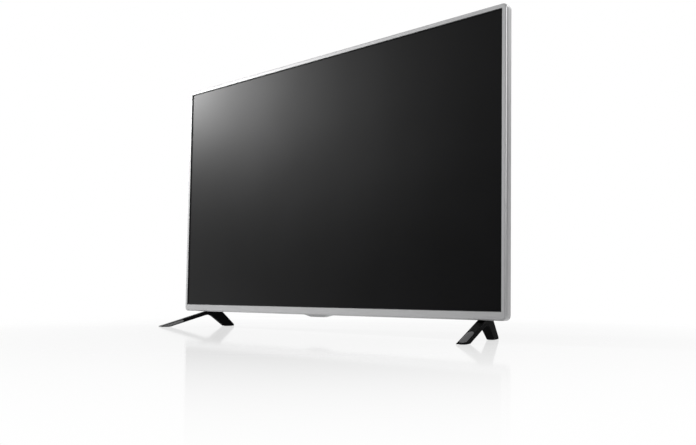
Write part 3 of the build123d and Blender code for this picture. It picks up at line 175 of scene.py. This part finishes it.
# Shutter of the optical socket, with two ribs on its face
OPTICAL_PLACE = 267.3 * MM
OPTICAL_LIFT = 5.0 * MM
SHUTTER_DEPTHS = (0.45 * MM, 1.05 * MM)
SHUTTER_HALF = 3.0 * MM
SHUTTER_EDGE = 0.25 * MM
RIB_DEPTHS = (0.3 * MM, 0.5 * MM)
RIB_APART = 2.0 * MM
RIB_LENGTH_HALF = 2.4 * MM
RIB_WIDTH_HALF = 0.3 * MM
RIB_EDGE = 0.08 * MM

# Turned details: (radius, along) in millimetres, along counted from the plate's face outward
JACK_PLACE = 249.3 * MM
JACK_LIFT = 4.0 * MM
JACK_LINER = (
    (1.62, -4), (1.62, 0.3), (1.9, 0.6), (2.7, 0.6),
    (2.9, 0.4), (2.9, -0.02), (1.78, -0.02), (1.78, -4),
)
ANTENNA_PLACE = 229.3 * MM
ANTENNA_LIFT = 6.0 * MM
THREAD_FOOT = ((4.66, 1.0),)
THREAD_TOOTH = ((4.72, 0), (4.98, 0.3), (4.98, 0.42), (4.72, 0.72))
THREAD_TEETH = 10
THREAD_START = 1.2
THREAD_PITCH = 0.8
THREAD_MOUTH = ((4.72, 9.6), (4.3, 10.0), (2.65, 10.0), (2.65, 9.9), (4.2, 9.9), (4.66, 9.5))
ANTENNA_NUT = ((4.7, 0.02), (7.0, 0.02), (7.0, 0.9), (6.6, 1.15), (4.7, 1.15))
ANTENNA_BUSH = ((0.55, 4), (0.55, 8.6), (0.9, 8.9), (2.4, 8.9), (2.58, 8.6), (2.58, 4))

# Sleeves of the inlet's two pins: (radius, height) in millimetres
INLET_X = 468.0 * MM
INLET_Y = 45.25 * MM
PIN_APART = 4.3 * MM
PIN_SLEEVE = ((0.3, 218.3), (0.9, 218.35), (1.26, 218.9), (1.26, 227.9), (0.3, 227.95))


def make_camera():
    """The photograph's camera: its place, its turn and its shifted frame."""
    yaw, pitch, roll = (math.radians(angle) for angle in (CAMERA_YAW, CAMERA_PITCH, CAMERA_ROLL))
    forward = Vector((
        -math.sin(yaw) * math.cos(pitch), math.cos(yaw) * math.cos(pitch), math.sin(pitch),
    ))
    level = Vector((math.cos(yaw), math.sin(yaw), 0))
    upright = level.cross(forward)
    right = math.cos(roll) * level + math.sin(roll) * upright
    up = -math.sin(roll) * level + math.cos(roll) * upright
    data = bpy.data.cameras.new("camera")
    data.sensor_fit = "HORIZONTAL"
    data.sensor_width = SENSOR_WIDTH
    data.lens = CAMERA_FOCAL_PIXELS / IMAGE_WIDTH * SENSOR_WIDTH
    data.shift_x = (IMAGE_WIDTH / 2 - IMAGE_CENTRE[0]) / IMAGE_WIDTH
    data.shift_y = (IMAGE_CENTRE[1] - IMAGE_HEIGHT / 2) / IMAGE_WIDTH
    data.clip_start = CAMERA_NEAR
    data.clip_end = CAMERA_FAR
    camera = bpy.data.objects.new("camera", data)
    turn = Matrix((right, up, -forward)).transposed().to_4x4()
    camera.matrix_world = Matrix.Translation(CAMERA_PLACE) @ turn
    scene.collection.objects.link(camera)
    scene.camera = camera


def grey(tone):
    """A colour without a hue."""
    return (tone, tone, tone)


def shade(colour, factor):
    """A colour made darker or lighter."""
    return tuple(min(1.0, channel * factor) for channel in colour)


class Tree:
    """A node tree, with helpers that add nodes and return what comes out of them."""

    def __init__(self, tree):
        self.nodes = tree.nodes
        self.links = tree.links

    def node(self, kind, **inputs):
        """A new node, with values on its named inputs."""
        made = self.nodes.new(kind)
        for key, value in inputs.items():
            made.inputs[key.replace("_", " ")].default_value = value
        return made

    def math(self, operation, first, second=None):
        """One sum of two textures or numbers."""
        made = self.nodes.new("ShaderNodeMath")
        made.operation = operation
        for socket, value in zip(made.inputs, (first, second)):
            if isinstance(value, (int, float)):
                socket.default_value = value
            elif value is not None:
                self.links.new(value, socket)
        return made.outputs[0]

    def ranged(self, value, at, to, easing="LINEAR"):
        """A value mapped from one range into another."""
        made = self.nodes.new("ShaderNodeMapRange")
        made.interpolation_type = easing
        for key, number in zip(("From Min", "From Max", "To Min", "To Max"), (*at, *to)):
            made.inputs[key].default_value = number
        self.links.new(value, made.inputs["Value"])
        return made.outputs["Result"]

    def eased(self, value, at, to):
        """A value mapped softly from one range into another."""
        return self.ranged(value, at, to, "SMOOTHSTEP")

    def along(self, vector, axis):
        """How far a vector reaches along an axis."""
        made = self.nodes.new("ShaderNodeVectorMath")
        made.operation = "DOT_PRODUCT"
        made.inputs[1].default_value = axis
        self.links.new(vector, made.inputs[0])
        return made.outputs["Value"]

    def length(self, vector):
        """The length of a vector."""
        made = self.nodes.new("ShaderNodeVectorMath")
        made.operation = "LENGTH"
        self.links.new(vector, made.inputs[0])
        return made.outputs["Value"]

    def apart(self, vector):
        """The X, Y and Z of a vector."""
        made = self.nodes.new("ShaderNodeSeparateXYZ")
        self.links.new(vector, made.inputs["Vector"])
        return made.outputs

    def mixed(self, share, first, second):
        """Two shaders in a share that a texture or ray gives."""
        made = self.nodes.new("ShaderNodeMixShader")
        for socket, value in zip(made.inputs, (share, first, second)):
            self.links.new(value, socket)
        return made.outputs[0]

    def glossy_rays(self):
        """One for glossy rays, zero for all others."""
        return self.nodes.new("ShaderNodeLightPath").outputs["Is Glossy Ray"]

    def seen_rays(self):
        """One for camera, glossy and transmission rays, zero for the rays that light things."""
        path = self.nodes.new("ShaderNodeLightPath").outputs
        mirrored = self.math("MAXIMUM", path["Is Camera Ray"], path["Is Glossy Ray"])
        return self.math("MAXIMUM", mirrored, path["Is Transmission Ray"])


class Surface(Tree):
    """A Principled material with a few procedural helpers."""

    def __init__(self, name, colour, roughness, metallic=0.0):
        self.material = bpy.data.materials.new(name)
        self.material.use_nodes = True
        super().__init__(self.material.node_tree)
        self.shader = next(n for n in self.nodes if n.type == "BSDF_PRINCIPLED")
        self.out = next(n for n in self.nodes if n.type == "OUTPUT_MATERIAL")
        self.set("Base Color", (*colour, 1))
        self.set("Roughness", roughness)
        self.set("Metallic", metallic)

    def set(self, socket, value):
        """Puts one value on a socket of the shader."""
        self.shader.inputs[socket].default_value = value

    def place(self, stretch=(1, 1, 1)):
        """Object coordinates, stretched along each axis."""
        coordinates = self.nodes.new("ShaderNodeTexCoord")
        mapping = self.node("ShaderNodeMapping", Scale=stretch)
        self.links.new(coordinates.outputs["Object"], mapping.inputs["Vector"])
        return mapping.outputs["Vector"]

    def facing(self):
        """The X, Y and Z of the direction that the surface faces."""
        return self.apart(self.nodes.new("ShaderNodeNewGeometry").outputs["Normal"])

    def noise(self, scale, detail=3.0, stretch=(1, 1, 1), roughness=0.5):
        """Noise texture."""
        made = self.node("ShaderNodeTexNoise", Scale=scale, Detail=detail, Roughness=roughness)
        self.links.new(self.place(stretch), made.inputs["Vector"])
        return made.outputs["Fac"]

    def cells(self, scale):
        """Cell texture: the distance to each cell's middle, and a colour for each cell."""
        made = self.node("ShaderNodeTexVoronoi", Scale=scale)
        self.links.new(self.place(), made.inputs["Vector"])
        return made.outputs["Distance"], made.outputs["Color"]

    def roughen(self, value, low, high, at=NOISE_RANGE):
        """Sets the roughness between two numbers by a texture."""
        self.links.new(self.ranged(value, at, (low, high)), self.shader.inputs["Roughness"])

    def tint(self, value, dark, light, at=NOISE_RANGE):
        """Colours the surface between two colours by a texture."""
        ramp = self.nodes.new("ShaderNodeValToRGB")
        for element, position, colour in zip(ramp.color_ramp.elements, at, (dark, light)):
            element.position = position
            element.color = (*colour, 1)
        self.links.new(value, ramp.inputs["Fac"])
        self.links.new(ramp.outputs["Color"], self.shader.inputs["Base Color"])
        return ramp.outputs["Color"]

    def vary(self, value, colour, contrast, at=NOISE_RANGE):
        """Colours the surface by a texture, evenly to both sides of a colour."""
        self.tint(value, shade(colour, 1 - contrast), shade(colour, 1 + contrast), at)

    def blend(self, mask, first, second):
        """Colours the surface with one of two colours or textures by a mask."""
        made = self.nodes.new("ShaderNodeMix")
        made.data_type = "RGBA"
        self.links.new(mask, made.inputs["Factor"])
        for socket, value in ((made.inputs["A"], first), (made.inputs["B"], second)):
            if isinstance(value, tuple):
                socket.default_value = (*value, 1)
            else:
                self.links.new(value, socket)
        self.links.new(made.outputs["Result"], self.shader.inputs["Base Color"])

    def bump(self, value, strength, distance):
        """Raises the surface by a texture."""
        made = self.node("ShaderNodeBump", Strength=strength, Distance=distance)
        self.links.new(value, made.inputs["Height"])
        self.links.new(made.outputs["Normal"], self.shader.inputs["Normal"])


def brushed(name, colour, roughness, metallic, lines=(0.02, 1, 1), contrast=0.06, scale=900):
    """Fine lines along one direction."""
    s = Surface(name, colour, roughness, metallic)
    hair = s.noise(scale, detail=2.0, stretch=lines, roughness=0.6)
    s.vary(hair, colour, contrast, at=(0.32, 0.68))
    s.bump(hair, strength=0.05, distance=0.02 * MM)
    return s


def satin(name, colour, roughness, *finish):
    """Satin coat or film: brushed, with a slow drift of its gloss."""
    s = brushed(name, colour, roughness, *finish)
    s.roughen(s.noise(25), roughness - 0.04, roughness + 0.04)
    return s


def grained(name, colour, roughness, grain=1800, strength=0.12, contrast=0.12):
    """Moulded plastic with a fine spark-eroded grain and clouded colour."""
    s = Surface(name, colour, roughness)
    s.vary(s.noise(14, detail=4.0), colour, contrast)
    s.bump(s.noise(grain, detail=2.0), strength, distance=0.06 * MM)
    return s


def moulded(name, colour, roughness, *finish):
    """Grained plastic with a slow drift of its gloss."""
    s = grained(name, colour, roughness, *finish)
    s.roughen(s.noise(40), roughness - 0.04, roughness + 0.05)
    return s


def metal(name, colour, roughness, grain=260, stretch=(1, 1, 1)):
    """Bare or plated metal, drawn or rolled along one direction."""
    s = Surface(name, colour, roughness, metallic=1.0)
    s.vary(s.noise(grain, stretch=stretch), colour, contrast=0.1)
    s.roughen(s.noise(30, detail=4.0), roughness - 0.06, roughness + 0.08)
    s.bump(s.noise(grain * 4, detail=2.0, stretch=stretch), strength=0.05, distance=0.02 * MM)
    return s


def galvanised(name, colour, roughness):
    """Zinc-coated sheet with its crystal spangle."""
    s = Surface(name, colour, roughness, metallic=1.0)
    rise, crystals = s.cells(260)
    tones = s.nodes.new("ShaderNodeSeparateColor")
    s.links.new(crystals, tones.inputs["Color"])
    s.tint(tones.outputs["Red"], shade(colour, 0.9), shade(colour, 1.08), WHOLE_RANGE)
    s.roughen(tones.outputs["Green"], roughness - 0.08, roughness + 0.12, WHOLE_RANGE)
    s.bump(rise, strength=0.04, distance=0.03 * MM)
    return s


def board(name, colour, trace):
    """Circuit board: solder mask over copper tracks, with tinned vias."""
    s = Surface(name, colour, roughness=0.35)
    tracks = s.node(
        "ShaderNodeTexBrick", Scale=240.0, Mortar_Size=0.03,
        Color1=(*colour, 1), Color2=(*shade(colour, 1.25), 1), Mortar=(*trace, 1),
    )
    s.links.new(s.place(), tracks.inputs["Vector"])
    off_centre, _ = s.cells(170)
    via = s.math("LESS_THAN", off_centre, VIA_RADIUS)
    s.blend(via, tracks.outputs["Color"], VIA_TIN)
    s.roughen(via, 0.38, 0.22, WHOLE_RANGE)
    s.bump(tracks.outputs["Fac"], strength=0.3, distance=0.05 * MM)
    return s


def pressed_paper(name, colour):
    """Pressed paper with coarse fibres."""
    s = Surface(name, colour, roughness=0.9)
    fibre = s.noise(900, detail=4.0, roughness=0.7)
    s.tint(fibre, shade(colour, 0.75), shade(colour, 1.3))
    s.roughen(s.noise(60), 0.85, 0.97)
    s.bump(fibre, strength=0.5, distance=0.1 * MM)
    return s


def woven(name, colour, pitch):
    """Braided sleeve: two sets of strands crossing on the slant."""
    s = Surface(name, colour, roughness=0.6)
    waves = []
    for lean in (1, -1):
        wave = s.node("ShaderNodeTexWave", Scale=pitch, Distortion=0.4)
        wave.bands_direction = "DIAGONAL"
        s.links.new(s.place((1, lean, lean)), wave.inputs["Vector"])
        waves.append(wave.outputs["Fac"])
    cross = s.math("MAXIMUM", *waves)
    s.tint(cross, shade(colour, 0.5), shade(colour, 1.4), at=(0.3, 0.9))
    s.roughen(cross, 0.75, 0.5)
    s.bump(cross, strength=0.5, distance=0.2 * MM)
    return s


def clear_lens(name, colour):
    """Moulded clear lens over white, lightly frosted in places."""
    s = Surface(name, colour, roughness=0.12)
    s.set("Coat Weight", 0.4)
    s.tint(s.noise(90), shade(colour, 0.93), shade(colour, 1.05))
    s.roughen(s.noise(200, detail=2.0), 0.08, 0.2)
    s.bump(s.noise(500, detail=2.0), strength=0.03, distance=0.03 * MM)
    return s


def screen_surface(name):
    """Dark polariser with an antireflective haze and the masked border round the picture."""
    s = Surface(name, (0.0022, 0.0022, 0.0025), roughness=0.36)
    s.set("Specular IOR Level", 0.11)
    low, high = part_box("lcd_cell")
    middle, half = (low + high) / 2, (high - low) / 2
    place = s.apart(s.place())
    insets = []
    for axis, at, reach in (("X", middle.x, half.x), ("Z", middle.z, half.z)):
        off = s.math("ABSOLUTE", s.math("SUBTRACT", place[axis], at))
        insets.append(s.math("SUBTRACT", reach, off))
    inset = s.math("MINIMUM", *insets)
    border = CELL_OVERLAP + SCREEN_BORDER
    mask = s.ranged(inset, (border, border + SCREEN_EDGE_BLUR), (0, 1))
    picture = s.tint(s.noise(6), SCREEN_DARK, SCREEN_LIGHT)
    s.blend(mask, SCREEN_MASK, picture)
    s.roughen(s.noise(3, detail=2.0), 0.31, 0.334)
    s.bump(s.noise(4000, detail=1.0), strength=0.02, distance=0.01 * MM)
    return s


def bezel_surface(name):
    """Satin silver, with smoother roundings at the frame's two ends."""
    s = brushed(name, (0.40, 0.40, 0.405), roughness=0.57, metallic=0.5)
    s.roughen(s.math("ABSOLUTE", s.facing()["X"]), 0.57, 0.31, at=(0.12, 0.4))
    return s


def foot_surface(name):
    """Black moulding, smoother where it faces up than on its sides."""
    s = grained(name, (0.0022, 0.0022, 0.0025), roughness=0.5, grain=2600, strength=0.03)
    s.set("Specular IOR Level", 0.06)
    s.roughen(s.facing()["Z"], 0.8, 0.45, at=(0.1, 0.5))
    return s


def make_materials():
    """Every material by its name: a finish, and what it takes after the name."""
    # satin: colour, roughness, metallic, direction of the lines, contrast, scale
    # moulded: colour, roughness, grain, strength of the grain, contrast
    # metal: colour, roughness, grain, direction of the grain
    # board: colour of the mask, colour of the tracks; woven: colour, pitch of the strands
    finishes = {
        "bezel_silver": (bezel_surface,),
        "cabinet_silver": (satin, (0.42, 0.42, 0.425), 0.45, 0.35, (1, 1, 0.02)),
        "cover_black": (moulded, (0.020, 0.020, 0.022), 0.55, 1500, 0.3),
        "terminal_black": (moulded, (0.028, 0.028, 0.03), 0.45, 2400, 0.1),
        "guide_black": (moulded, (0.012, 0.012, 0.013), 0.55),
        "foot_black": (foot_surface,),
        # Lighter grey of the foot fields: painted sheen and painted reflection on the black feet
        "foot_satin": (moulded, (0.11, 0.11, 0.112), 0.36, 1400, 0.1),
        "pad_rubber": (moulded, grey(0.04), 0.85, 900, 0.3),
        "screw_steel": (metal, (0.07, 0.07, 0.075), 0.35),
        "board_screw_steel": (metal, (0.6, 0.6, 0.58), 0.25),
        "pan_steel": (galvanised, (0.5, 0.51, 0.52), 0.38),
        "shield_tin": (metal, (0.62, 0.62, 0.6), 0.3, 400, (1, 1, 0.05)),
        "socket_nickel": (metal, (0.62, 0.6, 0.56), 0.25),
        "contact_gold": (metal, (0.75, 0.55, 0.2), 0.22, 900, (0.2, 1, 1)),
        "socket_plastic": (moulded, grey(0.02), 0.4),
        "lens_smoke": (moulded, (0.04, 0.014, 0.02), 0.08, 300, 0.02),
        "board_green": (board, (0.012, 0.09, 0.035), (0.03, 0.16, 0.06)),
        "board_tan": (board, (0.33, 0.21, 0.08), (0.4, 0.28, 0.12)),
        "chip_black": (moulded, (0.02, 0.02, 0.021), 0.6, 3000, 0.2),
        "sink_aluminium": (metal, (0.7, 0.71, 0.72), 0.3, 300, (1, 1, 0.03)),
        "capacitor_sleeve": (moulded, (0.02, 0.03, 0.09), 0.25, 700, 0.04),
        "transformer_tape": (moulded, (0.55, 0.42, 0.05), 0.35, 500, 0.08),
        "film_amber": (moulded, (0.35, 0.13, 0.02), 0.25, 800, 0.05),
        "ribbon_white": (satin, (0.7, 0.72, 0.74), 0.4, 0.0, (1, 0.02, 0.02), 0.2, 700),
        "optical_film": (satin, (0.8, 0.81, 0.82), 0.3, 0.0, (0.02, 1, 1), 0.04, 1500),
        "diffuser_milk": (moulded, (0.82, 0.82, 0.81), 0.4, 2600, 0.1, 0.03),
        "reflector_white": (moulded, grey(0.86), 0.5, 1600, 0.1, 0.03),
        "strip_aluminium": (moulded, (0.78, 0.78, 0.77), 0.4, 900, 0.08, 0.05),
        "led_phosphor": (moulded, (0.8, 0.6, 0.08), 0.3, 1500, 0.1),
        "lens_clear": (clear_lens, (0.75, 0.77, 0.78)),
        "lead_black": (moulded, grey(0.02), 0.5, 1200, 0.1),
        "lead_sleeve": (woven, (0.3, 0.3, 0.28), 260),
        "lead_red": (moulded, (0.4, 0.02, 0.02), 0.4, 1200, 0.1),
        "lead_grey": (moulded, (0.22, 0.22, 0.23), 0.4, 1200, 0.1),
        "speaker_black": (moulded, grey(0.02), 0.5, 1500, 0.2),
        "driver_steel": (metal, grey(0.12), 0.4),
        "cone_paper": (pressed_paper, grey(0.04)),
        "joystick_nylon": (moulded, grey(0.1), 0.4, 2000, 0.08),
        "knob_silver": (satin, (0.4, 0.4, 0.41), 0.4, 0.6, (1, 1, 1)),
        "screen_glass": (screen_surface,),
    }
    return {name: finish(name, *values).material for name, (finish, *values) in finishes.items()}


def dress_nodes():
    """Each CAD node in the material of its slot."""
    for part in frame["record"]["subparts"]:
        for slot in frame["nodes"][part["node"]].material_slots:
            slot.material = materials[part["material_slot"]]


def slab(form, low, high, edge=0.0):
    """Box between two corners, with rounded edges, added to a form."""
    low, high = Vector(low), Vector(high)
    size = high - low
    corners = bmesh.ops.create_cube(form, size=1.0)["verts"]
    for corner in corners:
        corner.co = low + Vector((c + 0.5) * s for c, s in zip(corner.co, size))
    if edge > 0:
        edges = list({e for corner in corners for e in corner.link_edges})
        bmesh.ops.bevel(
            form, geom=edges, offset=edge, segments=2, affect="EDGES", profile=0.5,
        )


def skin(form, rings, closed=False):
    """Faces from each ring of points to the next, then back to the first ring or over both ends."""
    following = rings[1:] + rings[:1] if closed else rings[1:]
    for first, second in zip(rings, following):
        for step in range(len(first)):
            after = (step + 1) % len(first)
            form.faces.new((first[step], first[after], second[after], second[step]))
    if not closed:
        form.faces.new(list(reversed(rings[0])))
        form.faces.new(rings[-1])


def turned(form, centre, axis, profile, steps=32, closed=False):
    """Turned form: (radius, along) points spun round an axis, added to a form."""
    centre, axis = Vector(centre), Vector(axis).normalized()
    side = axis.orthogonal().normalized()
    other = axis.cross(side)
    rings = []
    for radius, along in profile:
        ring = []
        for step in range(steps):
            angle = 2 * math.pi * step / steps
            spoke = side * math.cos(angle) + other * math.sin(angle)
            ring.append(form.verts.new(centre + axis * along + spoke * radius))
        rings.append(ring)
    skin(form, rings, closed)


def rod(form, start, end, radius):
    """Thin rod between two points, added to a form."""
    line = Vector(end) - Vector(start)
    turned(form, start, line, ((radius, 0), (radius, line.length)), steps=8)


def in_mm(profile):
    """A profile written in millimetres, in metres."""
    return [(radius * MM, along * MM) for radius, along in profile]


def piece(name, form, slot, finish=None, smooth=35):
    """A finished piece from a form: meshed, smoothed up to an angle, and riding on the set."""
    bmesh.ops.recalc_face_normals(form, faces=form.faces)
    mesh = bpy.data.meshes.new(name)
    form.to_mesh(mesh)
    form.free()
    mesh.materials.append(materials[finish or slot])
    mesh.shade_smooth()
    mesh.set_sharp_from_angle(angle=math.radians(smooth))
    made = bpy.data.objects.new(name, mesh)
    scene.collection.objects.link(made)
    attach(made, "set")


def make_gasket():
    """Black strip between the bezel's inner edge and the screen, all the way round."""
    low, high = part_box("lcd_cell")
    left, right = low.x + CELL_OVERLAP, high.x - CELL_OVERLAP
    bottom, top = low.z + CELL_OVERLAP, high.z - CELL_OVERLAP
    back = low.y
    section = (
        (0, back), (-GASKET_LAP, GASKET_FRONT), (-GASKET_LAP, GASKET_LAP_FRONT), (0, GASKET_FRONT),
        (GASKET_WIDTH - GASKET_ROUND, GASKET_FRONT), (GASKET_WIDTH, GASKET_FRONT + GASKET_ROUND),
        (GASKET_WIDTH, back),
    )
    form = bmesh.new()
    rings = []
    for inset, y in section:
        corners = (
            (left + inset, bottom + inset), (right - inset, bottom + inset),
            (right - inset, top - inset), (left + inset, top - inset),
        )
        rings.append([form.verts.new((x, y, z)) for x, z in corners])
    skin(form, rings, closed=True)
    piece("screen_gasket", form, "guide_black")


def height_at(line, s):
    """Height of a line through two (along, height) points."""
    (s0, z0), (s1, z1) = line
    return z0 + (z1 - z0) * (s - s0) / (s1 - s0)


def crowned_painted_sheen(name, stations):
    """Closed crowned strip through stations of centre, half width across it, and rise out of it."""
    form = bmesh.new()
    rings = []
    for centre, across, rise in stations:
        sunk = rise.normalized() * FIELD_SUNK
        ring = []
        for step in range(FIELD_STEPS + 1):
            angle = math.pi * step / FIELD_STEPS
            point = centre - sunk + across * math.cos(angle) + (rise + sunk) * math.sin(angle)
            ring.append(form.verts.new(point))
        rings.append(ring)
    skin(form, rings)
    # The strip's lighter colour is a painted reflection on the black foot
    piece(name, form, "foot_black", "foot_satin", smooth=60)


def make_painted_foot_sheen():
    """Painted sheen: light fields on the front arm's top and inner side, round at their upper ends.
    """
    top_line, low_line = (ARM_NOSE, ARM_NECK), (ARM_HEEL, ARM_VAULT)
    for side, name in ((1, "right"), (-1, "left")):
        origin = Vector((side * FOOT_X, 0, 0))
        along = Vector((-side * math.sin(FOOT_SPLAY), math.cos(FOOT_SPLAY), 0))
        outward = Vector((side * math.cos(FOOT_SPLAY), math.sin(FOOT_SPLAY), 0))
        tops, sides = [], []
        for station in range(FIELD_STATIONS):
            s = FIELD_FROM + (FIELD_TO - FIELD_FROM) * station / (FIELD_STATIONS - 1)
            from_top = max(0.0, min(1.0, (FIELD_TO - s) / FIELD_ROUND))
            from_nose = min(1.0, (s - FIELD_FROM) / FIELD_NOSE)
            swell = max(FIELD_LEAST_SWELL, math.sqrt(1 - (1 - from_top) ** 2))
            crown = max(FIELD_LEAST_CROWN, math.sqrt(from_top) * from_nose) * FIELD_CROWN
            width = FIELD_NOSE_WIDTH + (1 - FIELD_NOSE_WIDTH) * from_nose
            high, low = height_at(top_line, s), max(ARM_HEEL[1], height_at(low_line, s))
            spine = origin + along * s
            half = (FOOT_HALF - FIELD_EDGE) * swell * width
            tops.append((spine + Vector((0, 0, high)), outward * half, Vector((0, 0, crown))))
            half = max(FIELD_LEAST_HALF, (high - low) / 2 - FIELD_EDGE) * swell
            middle = spine - outward * FOOT_HALF + Vector((0, 0, (high + low) / 2))
            sides.append((middle, Vector((0, 0, half)), -outward * crown))
        crowned_painted_sheen(f"foot_top_painted_sheen_{name}", tops)
        crowned_painted_sheen(f"foot_side_painted_sheen_{name}", sides)


def plate_slab(form, depths, middle, halves, edge=0.0):
    """Slab in a socket: depths behind the plate's face, then middle and half size in Y and Z."""
    (near, far), (y, z), (half_y, half_z) = depths, middle, halves
    low = (PLATE_X + near, y - half_y, z - half_z)
    high = (PLATE_X + far, y + half_y, z + half_z)
    slab(form, low, high, edge)


def tongue(sleeves, contacts, z, lift, half, rows, width, pitch):
    """Plastic tongue of a socket and the gold contacts on its faces."""
    middle = BOARD_BACK + lift
    plate_slab(sleeves, TONGUE_DEPTHS, (middle, z), (TONGUE_HALF, half), TONGUE_EDGE)
    for face, count in rows:
        y = middle + face * TONGUE_HALF
        for number in range(count):
            at = z + (number - (count - 1) / 2) * pitch
            plate_slab(contacts, CONTACT_DEPTHS, (y, at), (CONTACT_HALF, width / 2))


def make_contacts():
    """Tongues and contacts of the sockets, and the springs of the network socket."""
    sleeves, contacts = bmesh.new(), bmesh.new()
    for places, sizes in ((USB_PLACES, USB_TONGUE), (HDMI_PLACES, HDMI_TONGUE)):
        for z in places:
            tongue(sleeves, contacts, z, **sizes)
    low = BOARD_BACK + LAN_LIFT
    for number in range(LAN_SPRINGS):
        z = LAN_PLACE + (number - (LAN_SPRINGS - 1) / 2) * LAN_PITCH
        start, end = ((PLATE_X + depth, low + rise, z) for depth, rise in (LAN_START, LAN_END))
        rod(contacts, start, end, LAN_RADIUS)
    piece("socket_tongues", sleeves, "socket_plastic")
    piece("socket_contacts", contacts, "socket_nickel", "contact_gold")


def make_shutter():
    """Ribbed shutter that closes the optical socket."""
    form = bmesh.new()
    y = BOARD_BACK + OPTICAL_LIFT
    halves = (SHUTTER_HALF, SHUTTER_HALF)
    plate_slab(form, SHUTTER_DEPTHS, (y, OPTICAL_PLACE), halves, SHUTTER_EDGE)
    for side in (-1, 1):
        z = OPTICAL_PLACE + side * RIB_APART
        plate_slab(form, RIB_DEPTHS, (y, z), (RIB_LENGTH_HALF, RIB_WIDTH_HALF), RIB_EDGE)
    piece("optical_shutter", form, "socket_plastic", "guide_black")


def make_jack():
    """Nickel liner of the headphone jack, with its collar on the plate."""
    form = bmesh.new()
    centre = (PLATE_X, BOARD_BACK + JACK_LIFT, JACK_PLACE)
    turned(form, centre, OUTWARD, in_mm(JACK_LINER), steps=40, closed=True)
    piece("jack_liner", form, "socket_nickel")


def make_antenna():
    """Thread and nut of the antenna socket, and the white bush inside it."""
    centre = (PLATE_X, BOARD_BACK + ANTENNA_LIFT, ANTENNA_PLACE)
    form = bmesh.new()
    thread = list(THREAD_FOOT)
    for tooth in range(THREAD_TEETH):
        start = THREAD_START + tooth * THREAD_PITCH
        thread += [(radius, start + along) for radius, along in THREAD_TOOTH]
    thread += THREAD_MOUTH
    turned(form, centre, OUTWARD, in_mm(thread), steps=48, closed=True)
    turned(form, centre, OUTWARD, in_mm(ANTENNA_NUT), steps=6, closed=True)
    piece("antenna_thread", form, "socket_nickel")

    form = bmesh.new()
    turned(form, centre, OUTWARD, in_mm(ANTENNA_BUSH), steps=40, closed=True)
    piece("antenna_bush", form, "socket_nickel", "diffuser_milk")


def make_inlet_pins():
    """Round-ended sleeves over the inlet's two pins."""
    form = bmesh.new()
    for side in (-1, 1):
        turned(form, (INLET_X + side * PIN_APART, INLET_Y, 0), (0, 0, 1), in_mm(PIN_SLEEVE))
    piece("inlet_pins", form, "socket_nickel")


def make_floor():
    """Floor that looks white, with a share of the set's shadow and of its reflection near it."""
    half = FLOOR_SIZE / 2
    corners = [(-half, -half, 0), (half, -half, 0), (half, half, 0), (-half, half, 0)]
    mesh = bpy.data.meshes.new("floor")
    mesh.from_pydata(corners, [], [(0, 1, 2, 3)])
    floor = bpy.data.objects.new("floor", mesh)
    scene.collection.objects.link(floor)
    floor.location.z = -FLOOR_DROP

    s = Surface("floor_white", grey(FLOOR_TONE), roughness=0.5)
    dark, light = grey(FLOOR_TONE - FLOOR_TONE_DRIFT), grey(FLOOR_TONE + FLOOR_TONE_DRIFT)
    s.tint(s.noise(2, detail=2.0), dark, light)
    lit = s.shader.outputs[0]
    white = s.node("ShaderNodeEmission", Color=WHITE, Strength=1.0)
    dimmer = s.node("ShaderNodeEmission", Color=WHITE)
    across = s.along(s.place(), FLOOR_AXIS)
    level = s.eased(across, (FLOOR_DIM_AT, FLOOR_BRIGHT_AT), (FLOOR_DIM, 1))
    s.links.new(level, dimmer.inputs["Strength"])
    gloss = s.node("ShaderNodeBsdfGlossy", Color=WHITE, Roughness=FLOOR_GLOSS_ROUGHNESS)
    away = s.length(s.place())
    shadow = s.eased(away, (FLOOR_SHADOW_FAR, FLOOR_SHADOW_NEAR), (0, FLOOR_SHADOW_SHARE))
    polish = s.eased(away, (FLOOR_GLOSS_FAR, FLOOR_GLOSS_NEAR), (0, FLOOR_GLOSS_SHARE))
    plain = s.mixed(s.glossy_rays(), white.outputs[0], dimmer.outputs[0])
    seen = s.mixed(polish, s.mixed(shadow, plain, lit), gloss.outputs[0])
    s.links.new(s.mixed(s.seen_rays(), lit, seen), s.out.inputs["Surface"])
    mesh.materials.append(s.material)


def make_world():
    """White background; soft light; and for reflections a room that dims towards its front."""
    world = bpy.data.worlds.new("studio")
    scene.world = world
    world.use_nodes = True
    w = Tree(world.node_tree)
    w.nodes.clear()
    out = w.nodes.new("ShaderNodeOutputWorld")
    white = w.node("ShaderNodeBackground", Color=WHITE, Strength=1.0)
    soft = w.node("ShaderNodeBackground", Color=WHITE, Strength=ROOM_LIGHT)
    room = w.node("ShaderNodeBackground", Color=ROOM_COLOUR)
    across = w.along(w.nodes.new("ShaderNodeTexCoord").outputs["Generated"], ROOM_AXIS)
    level = w.eased(across, (ROOM_DIM_AT, ROOM_BRIGHT_AT), (ROOM_DIM, ROOM_BRIGHT))
    w.links.new(level, room.inputs["Strength"])
    behind = w.mixed(w.glossy_rays(), white.outputs[0], room.outputs[0])
    seen = w.mixed(w.seen_rays(), soft.outputs[0], behind)
    w.links.new(seen, out.inputs["Surface"])


def make_lamp(name, place, size, power):
    """Rectangular area lamp aimed at the middle of the set."""
    data = bpy.data.lights.new(name, "AREA")
    data.shape = "RECTANGLE"
    data.size, data.size_y = size
    data.energy = power
    lamp = bpy.data.objects.new(name, data)
    lamp.location = place
    lamp.rotation_euler = (Vector(LAMP_TARGET) - Vector(place)).to_track_quat("-Z", "Y").to_euler()
    scene.collection.objects.link(lamp)


make_camera()
materials = make_materials()
dress_nodes()
make_gasket()
make_painted_foot_sheen()
make_contacts()
make_shutter()
make_jack()
make_antenna()
make_inlet_pins()
make_floor()
make_world()
for lamp in LAMPS:
    make_lamp(*lamp)

scene.view_settings.view_transform = "Standard"
